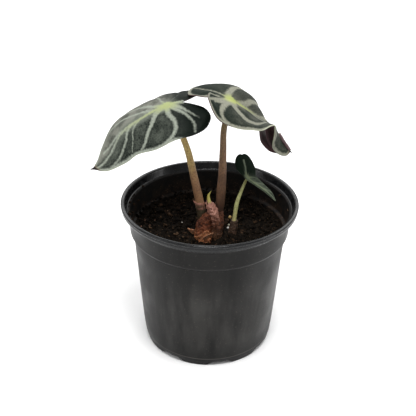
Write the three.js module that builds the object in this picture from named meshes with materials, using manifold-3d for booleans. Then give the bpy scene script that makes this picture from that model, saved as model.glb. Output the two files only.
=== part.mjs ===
// A young potted aroid: two large drooping velvet leaves, one young leaf still half rolled, and the swollen stem base
// they grow from, standing in peaty soil in a black nursery pot.
// Units are millimetres and +Z is up. Every piece is laid out from the pot's axis, with the table at Z = 0.
// "Near" means towards -Y, the side from which the plant is usually seen, and "far" means the other half of a leaf.
import * as THREE from "three";
import { mergeVertices } from "three/addons/utils/BufferGeometryUtils.js";
import Module from "manifold-3d";

const wasm = await Module();
wasm.setup();

// Driving dimensions
const GAP = 0.3; // clearance between neighbouring pieces
const POT_HEIGHT = 107;
const RIM_RADIUS = 60;
const WALL = 1.0;
const LIP_HEIGHT = 4.2;
const COLLAR_LEDGE_Z = 101; // small ledge inside the mouth
const COLLAR_RADIUS = 56; // inner wall just above that ledge
const BAND_TOP_RADIUS = 55.2; // the wide band under the lip, where the next pot in a stack stops
const BAND_BOTTOM_RADIUS = 54.2;
const BAND_BOTTOM_Z = 86;
const BODY_TOP_RADIUS = 52;
const BODY_FOOT_RADIUS = 45.9;
const BODY_FOOT_Z = 5.6;
const FOOT_RADIUS = 44.7;
const FLOOR_Z = 5; // underside of the raised floor
const POT_SEGMENTS = 48;
const NOTCHES = 8; // cut-outs in the foot that let water run off
const NOTCH_HEIGHT = 3;
const NOTCH_WIDTH = { bottom: 19, top: 10 };
const FIRST_NOTCH = 11.5; // degrees from -Y towards +X
const DRAIN_RADIUS = 3.6;
const DRAIN_CIRCLE = 33;
const INSIDE_LOW_RADIUS = 45.8; // inner wall at the height where the taper starts
const INSIDE_FLOOR_RADIUS = 44.8;
const TAPER_Z = 14;

const SOIL_Z = 84;
const SOIL_RISE = 3.5; // the fill lies higher at the left wall
const CHIP_COUNT = 28;
const CHIP_SEED = 7;
const SOIL_RINGS = 6;
const SOIL_CLEARANCE = GAP + 0.1; // from the pot's wall, so that the facets of both stay apart

const BLADE_THICKNESS = 0.8;
const BLADE_RINGS = 9;
const BLADE_SAMPLES = 32; // along one side of the outline
const ORIGIN_SHIFT = 7.4; // moves the middle of the whole plant over the origin

// The three leaves. An outline runs along one half of the flat blade, from the tip to the notch behind the stalk:
// distance along the midrib from the stalk, then distance out from it. A station gives the midrib's place and, for
// the near and the far half, the heading in degrees, the slope at the midrib and the slope at full width. The back
// lobes are raised or lowered a little more by their lift.
const LEFT_LEAF = {
  fullWidth: 30,
  lobeLift: { near: 0, far: 2 },
  outline: [
    [67, 0], [64.5, 0.9], [61, 4], [55, 8], [46, 13.5], [33, 20.5], [17, 27],
    [0, 28.5], [-14, 26.5], [-24, 20], [-28, 12], [-26, 6], [-20, 2.5], [-12, 0],
  ],
  stations: [
    { along: -28, midrib: [-5, 14, 172], near: [-65, -20, -50], far: [116, 13, -42] },
    { along: 0, midrib: [-29, 6, 172], near: [-75, -18, -42], far: [100, 15, -40] },
    { along: 17, midrib: [-43.5, 1, 165.5], near: [-66, -18, -38], far: [100, 20, -40] },
    { along: 35, midrib: [-57, -7, 157.5], near: [-52, -20, -35], far: [108, 25, -50] },
    { along: 50, midrib: [-63.5, -17, 147], near: [-35, -12, -45], far: [125, 15, -45] },
    { along: 60, midrib: [-69, -23.5, 142], near: [-40, -15, -50], far: [130, 15, -40] },
    { along: 67, midrib: [-74.7, -26, 141.5], near: [-40, -20, -60], far: [140, 10, -50] },
  ],
};
const RIGHT_LEAF = {
  fullWidth: 30,
  lobeLift: { near: 1, far: -4.5 },
  outline: [
    [73, 0], [70.5, 1], [68, 3.8], [63, 6.5], [56, 10.5], [46, 18.5], [34, 25.5], [18, 28],
    [0, 28], [-14, 26], [-23, 20], [-27, 12], [-25, 6], [-19, 2.5], [-12, 0],
  ],
  nearOutline: [
    [73, 0], [70.5, 1], [68, 5], [63, 8.5], [56, 11.5], [46, 16.5], [34, 22], [18, 26.5],
    [0, 28], [-14, 26], [-23, 20], [-27, 12], [-25, 6], [-19, 2.5], [-12, 0],
  ],
  stations: [
    { along: -26, midrib: [-2, 0, 184], near: [-87, 12, -45], far: [140, 2, -30] },
    { along: -12, midrib: [4, 4, 179.5], near: [-86, 5, -38], far: [125, 17, -28] },
    { along: 0, midrib: [13.4, 8, 175], near: [-84, 0, -34], far: [98, 36, -40] },
    { along: 12, midrib: [21, 14, 168], near: [-80, 3, -22], far: [85, 42, -46] },
    { along: 23, midrib: [30, 21, 159.5], near: [-84, 5, -2], far: [84, 40, -78] },
    { along: 34, midrib: [39, 27, 152], near: [-88, 18, 22], far: [106, 14, -122] },
    { along: 42, midrib: [44, 30.5, 147], near: [-94, 25, 28], far: [128, -22, -116] },
    { along: 50, midrib: [48, 33, 140], near: [-110, 22, 15], far: [144, -55, -110] },
    { along: 58, midrib: [51.5, 35, 134], near: [-135, -10, -40], far: [152, -75, -108] },
    { along: 65, midrib: [54.5, 36, 129.5], near: [-130, -35, -60], far: [150, -60, -95] },
    { along: 73, midrib: [58, 36.5, 125.5], near: [-110, -50, -60], far: [110, 0, -60] },
  ],
};
const YOUNG_LEAF = {
  fullWidth: 9,
  samples: 18,
  rings: 7,
  outline: [
    [30, 0], [28, 0.6], [22, 1.9], [12, 3.2], [4, 5.2], [-4, 7],
    [-12, 7.2], [-18, 6], [-21, 3], [-21.5, 1], [-20.8, 0],
  ],
  nearOutline: [
    [30, 0], [28, 0.4], [22, 1.2], [12, 1.5], [4, 1.5], [-2, 2.2],
    [-8, 5], [-14, 7], [-18.5, 5.8], [-21, 3], [-21.5, 1], [-20.8, 0],
  ],
  stations: [
    { along: -20, midrib: [21.5, 11, 134.5], near: [-172, 5, -70], far: [20, 10, -70] },
    { along: -10, midrib: [23.5, 9, 127.5], near: [-170, -15, -70], far: [15, 15, -50] },
    { along: 0, midrib: [25.6, 8, 119.7], near: [-160, -30, -80], far: [20, 30, -50] },
    { along: 6, midrib: [30, 7.5, 116.2], near: [-125, -50, -120], far: [35, 35, -60] },
    { along: 14, midrib: [36.5, 7.5, 111.5], near: [-120, -50, -150], far: [50, 40, -60] },
    { along: 22, midrib: [42, 7.5, 106.4], near: [-120, -50, -150], far: [50, 40, -60] },
    { along: 30, midrib: [45.6, 7.5, 102], near: [-120, -30, -60], far: [60, 10, 0] },
  ],
};

// Stalks: points on the axis from the foot up, each with its radius. The blade's stalk point is the last one.
const LEFT_STALK = [
  { at: [-4.1, -5.2, 88.5], radius: 2.9 },
  { at: [-5.1, -4.3, 97], radius: 2.9 },
  { at: [-6.9, -3.1, 106.5], radius: 2.9 },
  { at: [-11, -0.8, 125], radius: 2.5 },
  { at: [-15.1, 1.5, 142.5], radius: 2.2 },
  { at: [-19.5, 3.4, 154], radius: 2.0 },
  { at: [-25.5, 5.2, 166], radius: 1.9 },
];
const RIGHT_STALK = [
  { at: [5.4, -2, 88.5], radius: 2.5 },
  { at: [6.2, -0.6, 97], radius: 2.7 },
  { at: [7.1, 0.6, 104], radius: 3.1 },
  { at: [7.5, 1.7, 112], radius: 3.1 },
  { at: [8, 2.9, 122], radius: 2.8 },
  { at: [8.2, 5, 141.3], radius: 2.3 },
  { at: [8.6, 6.2, 157], radius: 2.0 },
  { at: [11.4, 7.4, 168.5], radius: 1.9 },
];
const YOUNG_STALK = [
  { at: [15.9, -5.3, 83], radius: 1.5 },
  { at: [16.5, -4.8, 91], radius: 1.5 },
  { at: [17.1, -3, 95.5], radius: 1.4 },
  { at: [18.5, 0.8, 104], radius: 1.35 },
  { at: [21.1, 6, 109.5], radius: 1.1 },
  { at: [23.5, 9.4, 114.4], radius: 0.9 },
];

// Swollen stem base: upright lofts through ellipses, with papery ribs running round their sides
const LEFT_HUMP = [
  { at: [-2.5, -7.5, 68], rx: 3.2, ry: 4 },
  { at: [-3.2, -8.2, 75], rx: 5.6, ry: 7.5 },
  { at: [-3.8, -8.6, 84], rx: 6.4, ry: 9.2 },
  { at: [-3.9, -8.5, 89], rx: 5.2, ry: 7.7 },
  { at: [-3.8, -8.3, 93], rx: 4.9, ry: 6.1 },
  { at: [-2.9, -8.3, 97], rx: 3.6, ry: 4.4 },
  { at: [-2, -8.3, 100], rx: 1.8, ry: 2.4 },
];
const RIGHT_HUMP = [
  { at: [3.5, -6.5, 68], rx: 3, ry: 4 },
  { at: [4.6, -6.4, 75], rx: 4.4, ry: 7.5 },
  { at: [5, -6.2, 84], rx: 4.3, ry: 8.8 },
  { at: [5.3, -5, 90], rx: 4.1, ry: 7.4 },
  { at: [5.7, -3.4, 95], rx: 3.9, ry: 5.8 },
  { at: [6.1, -1.4, 98.8], rx: 3.7, ry: 4.2 },
];
const OFFSET_CORM = [
  { at: [15.4, -5.6, 72], rx: 2.2, ry: 2.2 },
  { at: [15.6, -5.5, 79], rx: 3.5, ry: 3.7 },
  { at: [15.9, -5.4, 85], rx: 3.2, ry: 3.4 },
  { at: [16.6, -5, 89.5], rx: 2.7, ry: 2.8 },
  { at: [16.9, -4, 93.2], rx: 2.35, ry: 2.4 },
];
// The dry scale that sticks out to the left: points along its middle, each with half the height it has there
const TONGUE = [
  { at: [-10.5, -9.3, 86.9], half: 1.7 },
  { at: [-12.1, -9.5, 87.5], half: 1.1 },
  { at: [-13.5, -9.4, 88.3], half: 0.6 },
  { at: [-14.6, -9.1, 89.2], half: 0.2 },
];
// Sleeve round the new shoot, then the shoot itself
const SLEEVE = [
  { at: [3.9, -7, 92], rx: 2.4, ry: 2.7 },
  { at: [3.7, -6.7, 95.5], rx: 2.7, ry: 2.9 },
  { at: [2.6, -5.7, 99.5], rx: 2.9, ry: 3.1 },
  { at: [0.9, -4.3, 103.5], rx: 2.7, ry: 2.9 },
  { at: [-0.3, -3, 107], rx: 2.2, ry: 2.5 },
];
const SLEEVE_WALL = 0.8;
const SLEEVE_SHAPE = { sides: 12, steps: 7, ribs: 3, ribDepth: 0.09 };
const SHOOT = [
  { at: [3.9, -7, 92.5], rx: 1.2, ry: 1.4 },
  { at: [2.9, -6, 98.5], rx: 1.4, ry: 1.6 },
  { at: [0.9, -4.3, 103.5], rx: 1.35, ry: 1.5 },
  { at: [-0.4, -2.8, 107], rx: 1.2, ry: 1.25 },
  { at: [-0.8, -1.3, 110.6], rx: 0.8, ry: 0.8 },
  { at: [0.8, -0.3, 113.4], rx: 0.15, ry: 0.15 },
];

// Loose granules lying on the soil between the stalks
const GRANULES = [
  { name: "granule_yellow", at: [14.5, 13.1], radius: 1.1, colour: 0xb9a24a },
  { name: "granule_white_1", at: [13.7, 5.1], radius: 0.75, colour: 0xcfc8b4 },
  { name: "granule_white_2", at: [13.0, 0.7], radius: 0.8, colour: 0xcfc8b4 },
];

const degrees = THREE.MathUtils.degToRad;

// Curve and mesh helpers

// Cubic curve through a table of values, with the mean slope at each inner station and straight ends.
function smoothTable(x, places, rows) {
  const last = places.length - 1;
  let i = 0;
  while (i < last - 1 && x >= places[i + 1]) i += 1;
  const slope = (k) => {
    const rise = (j) => (c) => (rows[j + 1][c] - rows[j][c]) / (places[j + 1] - places[j]);
    if (k === 0) return rows[0].map((_, c) => rise(0)(c));
    if (k === last) return rows[0].map((_, c) => rise(last - 1)(c));
    const before = places[k] - places[k - 1];
    const after = places[k + 1] - places[k];
    return rows[0].map((_, c) => (rise(k - 1)(c) * after + rise(k)(c) * before) / (before + after));
  };
  const step = places[i + 1] - places[i];
  const start = slope(i);
  const end = slope(i + 1);
  if (x < places[0]) return rows[0].map((v, c) => v + (x - places[0]) * start[c]);
  if (x > places[last]) return rows[last].map((v, c) => v + (x - places[last]) * end[c]);
  const t = (x - places[i]) / step;
  return rows[i].map((v, c) => {
    const hold = (2 * t ** 3 - 3 * t ** 2 + 1) * v + (3 * t ** 2 - 2 * t ** 3) * rows[i + 1][c];
    return hold + ((t ** 3 - 2 * t ** 2 + t) * start[c] + (t ** 3 - t ** 2) * end[c]) * step;
  });
}

// Repeatable draws between 0 and 1
function seededDraws(seed) {
  let state = seed;
  return () => {
    state = (state * 1664525 + 1013904223) % 4294967296;
    return state / 4294967296;
  };
}

function geometryFrom(points, triangles) {
  const geometry = new THREE.BufferGeometry();
  const flat = points.flatMap((p) => [p.x, p.y, p.z]);
  geometry.setAttribute("position", new THREE.Float32BufferAttribute(flat, 3));
  geometry.setIndex(triangles.flat());
  return geometry;
}

function toSolid(geometry) {
  const bare = geometry.clone();
  bare.deleteAttribute("normal");
  bare.deleteAttribute("uv");
  const merged = mergeVertices(bare, 1e-4);
  return new wasm.Manifold(
    new wasm.Mesh({
      numProp: 3,
      vertProperties: merged.attributes.position.array,
      triVerts: new Uint32Array(merged.index.array),
    }),
  );
}

// Keeps the largest body, so that a cut leaves no loose scrap.
function largest(solid) {
  return solid.decompose().reduce((a, b) => (b.volume() > a.volume() ? b : a));
}

function fromSolid(solid) {
  const made = solid.getMesh();
  const geometry = new THREE.BufferGeometry();
  geometry.setAttribute("position", new THREE.BufferAttribute(new Float32Array(made.vertProperties), 3));
  geometry.setIndex(new THREE.BufferAttribute(new Uint32Array(made.triVerts), 1));
  return geometry;
}

function piece(name, geometry, colour, roughness) {
  const material = new THREE.MeshStandardMaterial({ color: colour, roughness, metalness: 0 });
  const shaded = geometry.clone();
  shaded.computeVertexNormals();
  const mesh = new THREE.Mesh(shaded, material);
  mesh.name = name;
  return mesh;
}

// Rings of points joined into a closed skin, each end closed by a fan to its own middle point.
function skin(rings, bottomMiddle, topMiddle) {
  const sides = rings[0].length;
  const points = [...rings.flat(), bottomMiddle, topMiddle];
  const bottom = points.length - 2;
  const top = points.length - 1;
  const triangles = [];
  for (let s = 0; s < sides; s += 1) {
    const next = (s + 1) % sides;
    for (let r = 0; r < rings.length - 1; r += 1) {
      const low = r * sides;
      const high = low + sides;
      triangles.push([low + s, low + next, high + next], [low + s, high + next, high + s]);
    }
    const lastRing = (rings.length - 1) * sides;
    triangles.push([bottom, next, s], [top, lastRing + s, lastRing + next]);
  }
  return geometryFrom(points, triangles);
}

// Upright body through ellipses, with a few shallow ribs round it. grow widens it for a clearance cut.
function loft(sections, { sides = 14, steps = 8, ribs = 0, ribDepth = 0, grow = 0 } = {}) {
  const places = sections.map((s) => s.at[2]);
  const rows = sections.map((s) => [s.at[0], s.at[1], s.rx, s.ry]);
  const first = places[0];
  const height = places.at(-1) - first;
  const rings = [];
  for (let k = 0; k <= steps; k += 1) {
    const z = first + (height * k) / steps;
    const [x, y, rx, ry] = smoothTable(z, places, rows);
    rings.push(
      Array.from({ length: sides }, (_, s) => {
        const turn = (2 * Math.PI * s) / sides;
        const swell = 1 + ribDepth * Math.cos(ribs * turn + 0.35 * z);
        return new THREE.Vector3(
          x + (rx * swell + grow) * Math.cos(turn),
          y + (ry * swell + grow) * Math.sin(turn),
          z,
        );
      }),
    );
  }
  const middle = (ring, lift) =>
    ring.reduce((sum, p) => sum.add(p), new THREE.Vector3()).divideScalar(sides).add(new THREE.Vector3(0, 0, lift));
  if (grow > 0) {
    for (const p of rings[0]) p.z -= grow;
    for (const p of rings.at(-1)) p.z += grow;
  }
  return skin(rings, middle(rings[0], 0), middle(rings.at(-1), 0));
}

// A thin sheet given its thickness: both faces share one split into triangles, and a rim joins them.
function thicken(points, triangles, thickness) {
  const normals = points.map(() => new THREE.Vector3());
  for (const [a, b, c] of triangles) {
    const across = points[b].clone().sub(points[a]);
    const face = across.cross(points[c].clone().sub(points[a]));
    for (const i of [a, b, c]) normals[i].add(face);
  }
  const count = points.length;
  const shift = (side) => points.map((p, i) => p.clone().addScaledVector(normals[i].clone().normalize(), side));
  const all = [...shift(thickness / 2), ...shift(-thickness / 2)];
  const faces = [];
  const edges = new Set(triangles.flatMap(([a, b, c]) => [`${a},${b}`, `${b},${c}`, `${c},${a}`]));
  for (const [a, b, c] of triangles) {
    faces.push([a, b, c], [a + count, c + count, b + count]);
    for (const [i, j] of [[a, b], [b, c], [c, a]]) {
      if (edges.has(`${j},${i}`)) continue;
      faces.push([j, i, i + count], [j, i + count, j + count]);
    }
  }
  return geometryFrom(all, faces);
}

// Leaves

// A place on the blade's middle surface, from the flat blade's distances along and out from the midrib.
function onBlade(leaf, along, out) {
  const places = leaf.stations.map((s) => s.along);
  const side = out >= 0 ? "near" : "far";
  const [x, y, z] = smoothTable(along, places, leaf.stations.map((s) => s.midrib));
  const [heading, slope, edgeSlope] = smoothTable(along, places, leaf.stations.map((s) => s[side])).map(degrees);
  const width = Math.abs(out);
  const rate = (edgeSlope - slope) / leaf.fullWidth;
  const turned = slope + rate * width;
  const curved = Math.abs(rate) > 1e-6;
  const flat = curved ? (Math.sin(turned) - Math.sin(slope)) / rate : width * Math.cos(slope);
  const rise = curved ? (Math.cos(slope) - Math.cos(turned)) / rate : width * Math.sin(slope);
  const towardsLobe = THREE.MathUtils.clamp((-along - 8) / 18, 0, 1);
  const lift = (leaf.lobeLift?.[side] ?? 0) * towardsLobe ** 2 * (3 - 2 * towardsLobe);
  return new THREE.Vector3(x + flat * Math.cos(heading), y + flat * Math.sin(heading), z + rise + lift);
}

// Even samples along one half of the outline
function outlineSamples(outline, count) {
  const lengths = [0];
  for (let i = 1; i < outline.length; i += 1) {
    const [a, b] = [outline[i - 1], outline[i]];
    lengths.push(lengths[i - 1] + Math.hypot(b[0] - a[0], b[1] - a[1]));
  }
  return Array.from({ length: count }, (_, i) => smoothTable((lengths.at(-1) * i) / (count - 1), lengths, outline));
}

// The whole blade: rays from the stalk point out to the outline, crossed by rings.
function blade(leaf) {
  const samples = leaf.samples ?? BLADE_SAMPLES;
  const rings = leaf.rings ?? BLADE_RINGS;
  const near = outlineSamples(leaf.nearOutline ?? leaf.outline, samples);
  const far = outlineSamples(leaf.outline, samples).slice(1, -1).reverse();
  const rim = [...near, ...far.map(([along, out]) => [along, -out])];
  const points = [onBlade(leaf, 0, 0)];
  const triangles = [];
  for (let ring = 1; ring <= rings; ring += 1) {
    const reach = ring / rings;
    for (const [along, out] of rim) points.push(onBlade(leaf, along * reach, out * reach));
  }
  rim.forEach((_, i) => {
    const next = (i + 1) % rim.length;
    triangles.push([0, 1 + i, 1 + next]);
    for (let ring = 1; ring < rings; ring += 1) {
      const inner = 1 + (ring - 1) * rim.length;
      const outer = inner + rim.length;
      triangles.push([inner + i, outer + i, outer + next], [inner + i, outer + next, inner + next]);
    }
  });
  return thicken(points, triangles, BLADE_THICKNESS);
}

// The underside of the blade round its stalk point, a clearance below the leaf itself
function underBlade(leaf, along, out) {
  const step = 0.6;
  const span = onBlade(leaf, along + step, out).sub(onBlade(leaf, along - step, out));
  const across = onBlade(leaf, along, out + step).sub(onBlade(leaf, along, out - step));
  const down = span.cross(across).normalize();
  if (down.z > 0) down.negate();
  return onBlade(leaf, along, out).addScaledVector(down, BLADE_THICKNESS / 2 + GAP);
}

// A stalk: rings square to its axis, and a last ring fitted to the underside of its blade.
function stalk(stations, leaf, { sides = 10, steps = 13, grow = 0 } = {}) {
  const top = onBlade(leaf, 0, 0);
  const curve = new THREE.CatmullRomCurve3([...stations.map((s) => new THREE.Vector3(...s.at)), top]);
  const heights = stations.map((s) => s.at[2]);
  const radii = stations.map((s) => [s.radius]);
  const endReach = 0.985; // the rings stop just short of the blade
  const alongBlade = onBlade(leaf, 1, 0).sub(onBlade(leaf, -1, 0));
  const acrossBlade = onBlade(leaf, 0, 1).sub(onBlade(leaf, 0, -1));
  let across = alongBlade;
  const rings = [];
  for (let k = steps; k >= 0; k -= 1) {
    const reach = (endReach * k) / steps;
    const middle = curve.getPoint(reach);
    const axis = curve.getTangent(reach);
    across = across.clone().addScaledVector(axis, -across.dot(axis)).normalize();
    const third = axis.clone().cross(across);
    const radius = smoothTable(Math.min(middle.z, heights.at(-1)), heights, radii)[0] + grow;
    rings.unshift(
      Array.from({ length: sides }, (_, s) => {
        const turn = (2 * Math.PI * s) / sides;
        return middle
          .clone()
          .addScaledVector(across, radius * Math.cos(turn))
          .addScaledVector(third, radius * Math.sin(turn));
      }),
    );
  }
  const topAxis = curve.getTangent(endReach);
  const side = Math.sign(topAxis.clone().cross(alongBlade).dot(acrossBlade));
  const radius = stations.at(-1).radius;
  rings[rings.length - 1] = Array.from({ length: sides }, (_, s) => {
    const turn = (2 * Math.PI * s) / sides;
    return underBlade(leaf, radius * Math.cos(turn), side * radius * Math.sin(turn));
  });
  const foot = curve.getPoint(0);
  if (grow > 0) {
    const drop = curve.getTangent(0).multiplyScalar(-grow);
    foot.add(drop);
    for (const p of rings[0]) p.add(drop);
  }
  return skin(rings, foot, underBlade(leaf, 0, 0));
}

// The torn end of the old sheath on the left stalk: a thicker collar with one dry point.
function sheathEnd(grow = 0) {
  const collar = loft(
    [
      { at: [-4.7, -4.7, 93], rx: 3.1, ry: 3.1 },
      { at: [-5.3, -4.2, 98], rx: 3.2, ry: 3.2 },
      { at: [-6.5, -3.4, 104], rx: 3.3, ry: 3.3 },
      { at: [-7, -3, 107], rx: 3.1, ry: 3.1 },
    ],
    { sides: 12, steps: 4, grow },
  );
  const point = loft(
    [
      { at: [-8.5, -3.6, 104.8], rx: 1.1, ry: 1.3 },
      { at: [-10, -3.8, 106.8], rx: 0.6, ry: 0.8 },
      { at: [-11.1, -3.9, 107.8], rx: 0.15, ry: 0.15 },
    ],
    { sides: 6, steps: 2 },
  );
  return toSolid(collar).add(toSolid(point));
}

// Pot

function potOutside() {
  const lipBottom = POT_HEIGHT - LIP_HEIGHT;
  return [
    [FOOT_RADIUS, 0],
    [BODY_FOOT_RADIUS, BODY_FOOT_Z],
    [INSIDE_LOW_RADIUS + WALL, TAPER_Z],
    [BODY_TOP_RADIUS, BAND_BOTTOM_Z - 2],
    [BAND_BOTTOM_RADIUS - 0.7, BAND_BOTTOM_Z - 1.2],
    [BAND_BOTTOM_RADIUS, BAND_BOTTOM_Z + 0.2],
    [BAND_TOP_RADIUS, COLLAR_LEDGE_Z - 1.6],
    [COLLAR_RADIUS + 1, COLLAR_LEDGE_Z - 0.4],
    [COLLAR_RADIUS + 1.2, lipBottom],
    [RIM_RADIUS - 0.1, lipBottom],
    [RIM_RADIUS, POT_HEIGHT - 0.9],
    [RIM_RADIUS - 1, POT_HEIGHT],
  ];
}

function potInside() {
  return [
    [COLLAR_RADIUS + 1.4, POT_HEIGHT - 0.4],
    [COLLAR_RADIUS, COLLAR_LEDGE_Z + 0.5],
    [BAND_TOP_RADIUS - WALL - 0.1, COLLAR_LEDGE_Z],
    [BAND_BOTTOM_RADIUS - WALL, BAND_BOTTOM_Z + 0.6],
    [BODY_TOP_RADIUS - WALL, BAND_BOTTOM_Z - 0.4],
    [INSIDE_LOW_RADIUS, TAPER_Z],
    [INSIDE_FLOOR_RADIUS, FLOOR_Z + WALL],
  ];
}

const profile = (rows) => rows.map(([r, z]) => new THREE.Vector2(r, z));
const turned = (rows) => new THREE.LatheGeometry(profile(rows), POT_SEGMENTS).rotateX(Math.PI / 2);

function pot() {
  const skirt = FOOT_RADIUS - 1.7;
  const body = turned([
    [0, FLOOR_Z],
    [skirt, FLOOR_Z],
    [skirt, 0],
    ...potOutside(),
    ...potInside(),
    [0, FLOOR_Z + WALL],
  ]);
  let solid = toSolid(body);
  for (let i = 0; i < NOTCHES; i += 1) {
    const turn = degrees(FIRST_NOTCH + (360 / NOTCHES) * i);
    const cut = new THREE.Shape([
      new THREE.Vector2(-NOTCH_WIDTH.bottom / 2 - 1, -1),
      new THREE.Vector2(NOTCH_WIDTH.bottom / 2 + 1, -1),
      new THREE.Vector2(NOTCH_WIDTH.top / 2, NOTCH_HEIGHT),
      new THREE.Vector2(-NOTCH_WIDTH.top / 2, NOTCH_HEIGHT),
    ]);
    const wedge = new THREE.ExtrudeGeometry(cut, { depth: 12, bevelEnabled: false });
    wedge.rotateX(Math.PI / 2).translate(0, -36, 0).rotateZ(turn);
    solid = solid.subtract(toSolid(wedge));
    const drain = new THREE.CylinderGeometry(DRAIN_RADIUS, DRAIN_RADIUS, 4, 10).rotateX(Math.PI / 2);
    drain.translate(0, -DRAIN_CIRCLE, FLOOR_Z + WALL / 2).rotateZ(turn);
    solid = solid.subtract(toSolid(drain));
  }
  const middleDrain = new THREE.CylinderGeometry(DRAIN_RADIUS, DRAIN_RADIUS, 4, 10).rotateX(Math.PI / 2);
  middleDrain.translate(0, 0, FLOOR_Z + WALL / 2);
  return solid.subtract(toSolid(middleDrain));
}

// Soil

function soilHeight(x, y) {
  const left = THREE.MathUtils.smoothstep(-x + 0.2 * y, 18, 50);
  const lumps = 0.7 * Math.sin(0.23 * x + 1.1) * Math.cos(0.19 * y - 0.4) + 0.45 * Math.sin(0.47 * x - 0.31 * y);
  return SOIL_Z + SOIL_RISE * left + lumps;
}

// The side of the fill, from the pot's floor up: radius and height
function fillSide() {
  const topZ = SOIL_Z - 4;
  const taper = (topZ - TAPER_Z) / (BAND_BOTTOM_Z - TAPER_Z);
  const topRadius = THREE.MathUtils.lerp(INSIDE_LOW_RADIUS, BODY_TOP_RADIUS - WALL, taper);
  return [
    [INSIDE_FLOOR_RADIUS - SOIL_CLEARANCE, FLOOR_Z + WALL + GAP],
    [INSIDE_LOW_RADIUS - SOIL_CLEARANCE, TAPER_Z],
    [topRadius - SOIL_CLEARANCE, topZ],
  ];
}

// The fill up to its lumpy top
function fill() {
  const side = fillSide();
  const [topRadius] = side.at(-1);
  const bottom = side[0][1];
  const around = (radius, height) =>
    Array.from({ length: POT_SEGMENTS }, (_, s) => {
      const turn = (2 * Math.PI * s) / POT_SEGMENTS;
      const x = radius * Math.sin(turn);
      const y = -radius * Math.cos(turn);
      return new THREE.Vector3(x, y, height(x, y));
    });
  const top = Array.from({ length: SOIL_RINGS }, (_, k) => around(topRadius * (1 - k / SOIL_RINGS), soilHeight));
  const layers = [...side.map(([radius, z]) => around(radius, () => z)), ...top];
  return skin(layers, new THREE.Vector3(0, 0, bottom), new THREE.Vector3(0, 0, soilHeight(0, 0)));
}

// Bark chips sunk into the top, each a flat five-sided slab lying at its own tilt
function chips() {
  const draw = seededDraws(CHIP_SEED);
  const made = [];
  for (let i = 0; i < CHIP_COUNT; i += 1) {
    const radius = 14 + 33 * Math.sqrt(draw());
    const turn = 2 * Math.PI * draw();
    const size = 2.2 + 3.2 * draw();
    const chip = new THREE.CylinderGeometry(size * 0.85, size, 1.6 + draw(), 5);
    chip.scale(1, 1, 0.5 + 0.3 * draw());
    chip.rotateX(Math.PI / 2 + 0.7 * (draw() - 0.5)).rotateY(0.7 * (draw() - 0.5)).rotateZ(6.28 * draw());
    const x = radius * Math.cos(turn);
    const y = radius * Math.sin(turn);
    chip.translate(x, y, soilHeight(x, y) + 0.35);
    made.push(toSolid(chip));
  }
  return made;
}

function soil(cutters) {
  const chipped = chips().reduce((sum, chip) => sum.add(chip), toSolid(fill()));
  const side = fillSide();
  const insideWall = turned([[0, 0], [side[0][0], 0], ...side, [side.at(-1)[0], POT_HEIGHT], [0, POT_HEIGHT]]);
  const trimmed = chipped.intersect(toSolid(insideWall));
  return largest(cutters.reduce((rest, cutter) => rest.subtract(cutter), trimmed));
}

// Stem base

const HUMP_SHAPE = { sides: 16, steps: 9, ribs: 5, ribDepth: 0.05 };

function humps(grow) {
  const left = toSolid(loft(LEFT_HUMP, { ...HUMP_SHAPE, grow }));
  return left.add(toSolid(loft(RIGHT_HUMP, { ...HUMP_SHAPE, grow })));
}

function offsetCorm(grow) {
  return toSolid(loft(OFFSET_CORM, { sides: 12, steps: 6, ribs: 4, ribDepth: 0.05, grow }));
}

// A sheet of quads split into triangles; row by row, each row has across + 1 points.
function sheetTriangles(across, up) {
  const row = across + 1;
  const triangles = [];
  for (let j = 0; j < up; j += 1) {
    for (let i = 0; i < across; i += 1) {
      const a = j * row + i;
      triangles.push([a, a + 1, a + row + 1], [a, a + row + 1, a + row]);
    }
  }
  return triangles;
}

// The front scale: a patch that follows the left hump's front and curls away from it towards its upper edge, which is
// highest near its right end.
function frontScale({ from, to, low, high, curl }) {
  const across = 8;
  const up = 4;
  const places = LEFT_HUMP.map((s) => s.at[2]);
  const rows = LEFT_HUMP.map((s) => [s.at[0], s.at[1], s.rx, s.ry]);
  const points = [];
  for (let j = 0; j <= up; j += 1) {
    for (let i = 0; i <= across; i += 1) {
      const u = i / across;
      const v = j / up;
      const arch = 1 - (2 * u ** 2 - 1) ** 2;
      const z = low + (high - low) * v * (0.3 + 0.7 * arch);
      const [x, y, rx, ry] = smoothTable(z, places, rows);
      const turn = degrees(from + (to - from) * u);
      const off = 1.25 + curl * v * v;
      points.push(new THREE.Vector3(x + (rx + off) * Math.cos(turn), y + (ry + off) * Math.sin(turn), z));
    }
  }
  return thicken(points, sheetTriangles(across, up), 0.7);
}

// The left scale: a pointed tongue that stands out from the hump's side.
function leftScale() {
  const across = 3;
  const up = 6;
  const rows = TONGUE.map((s) => [...s.at, s.half]);
  const reach = TONGUE.map((_, i) => i);
  const points = [];
  for (let j = 0; j <= up; j += 1) {
    const [x, y, z, half] = smoothTable((reach.at(-1) * j) / up, reach, rows);
    for (let i = 0; i <= across; i += 1) {
      const out = half * ((2 * i) / across - 1);
      points.push(new THREE.Vector3(x + 0.15 * out, y - 0.3 * out, z + out));
    }
  }
  return thicken(points, sheetTriangles(across, up), 0.7);
}

// The crumpled sleeve is a loft with a bore for the shoot.
function sleeve() {
  const outer = loft(SLEEVE, SLEEVE_SHAPE);
  const narrowed = SLEEVE.map((s) => ({ at: s.at, rx: s.rx - SLEEVE_WALL, ry: s.ry - SLEEVE_WALL }));
  const bore = loft(narrowed, { ...SLEEVE_SHAPE, ribDepth: 0.05, grow: 0.01 });
  return toSolid(outer).subtract(toSolid(bore));
}

// Assembly

const LEAF_GREEN = 0x2f3d2c;
const STALK_BROWN = 0x8a6a4a;

function granuleSolid({ at: [x, y], radius }, grow) {
  const ball = new THREE.IcosahedronGeometry(radius + grow, 1);
  return toSolid(ball.translate(x, y, soilHeight(x, y) + radius * 0.9));
}

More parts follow.
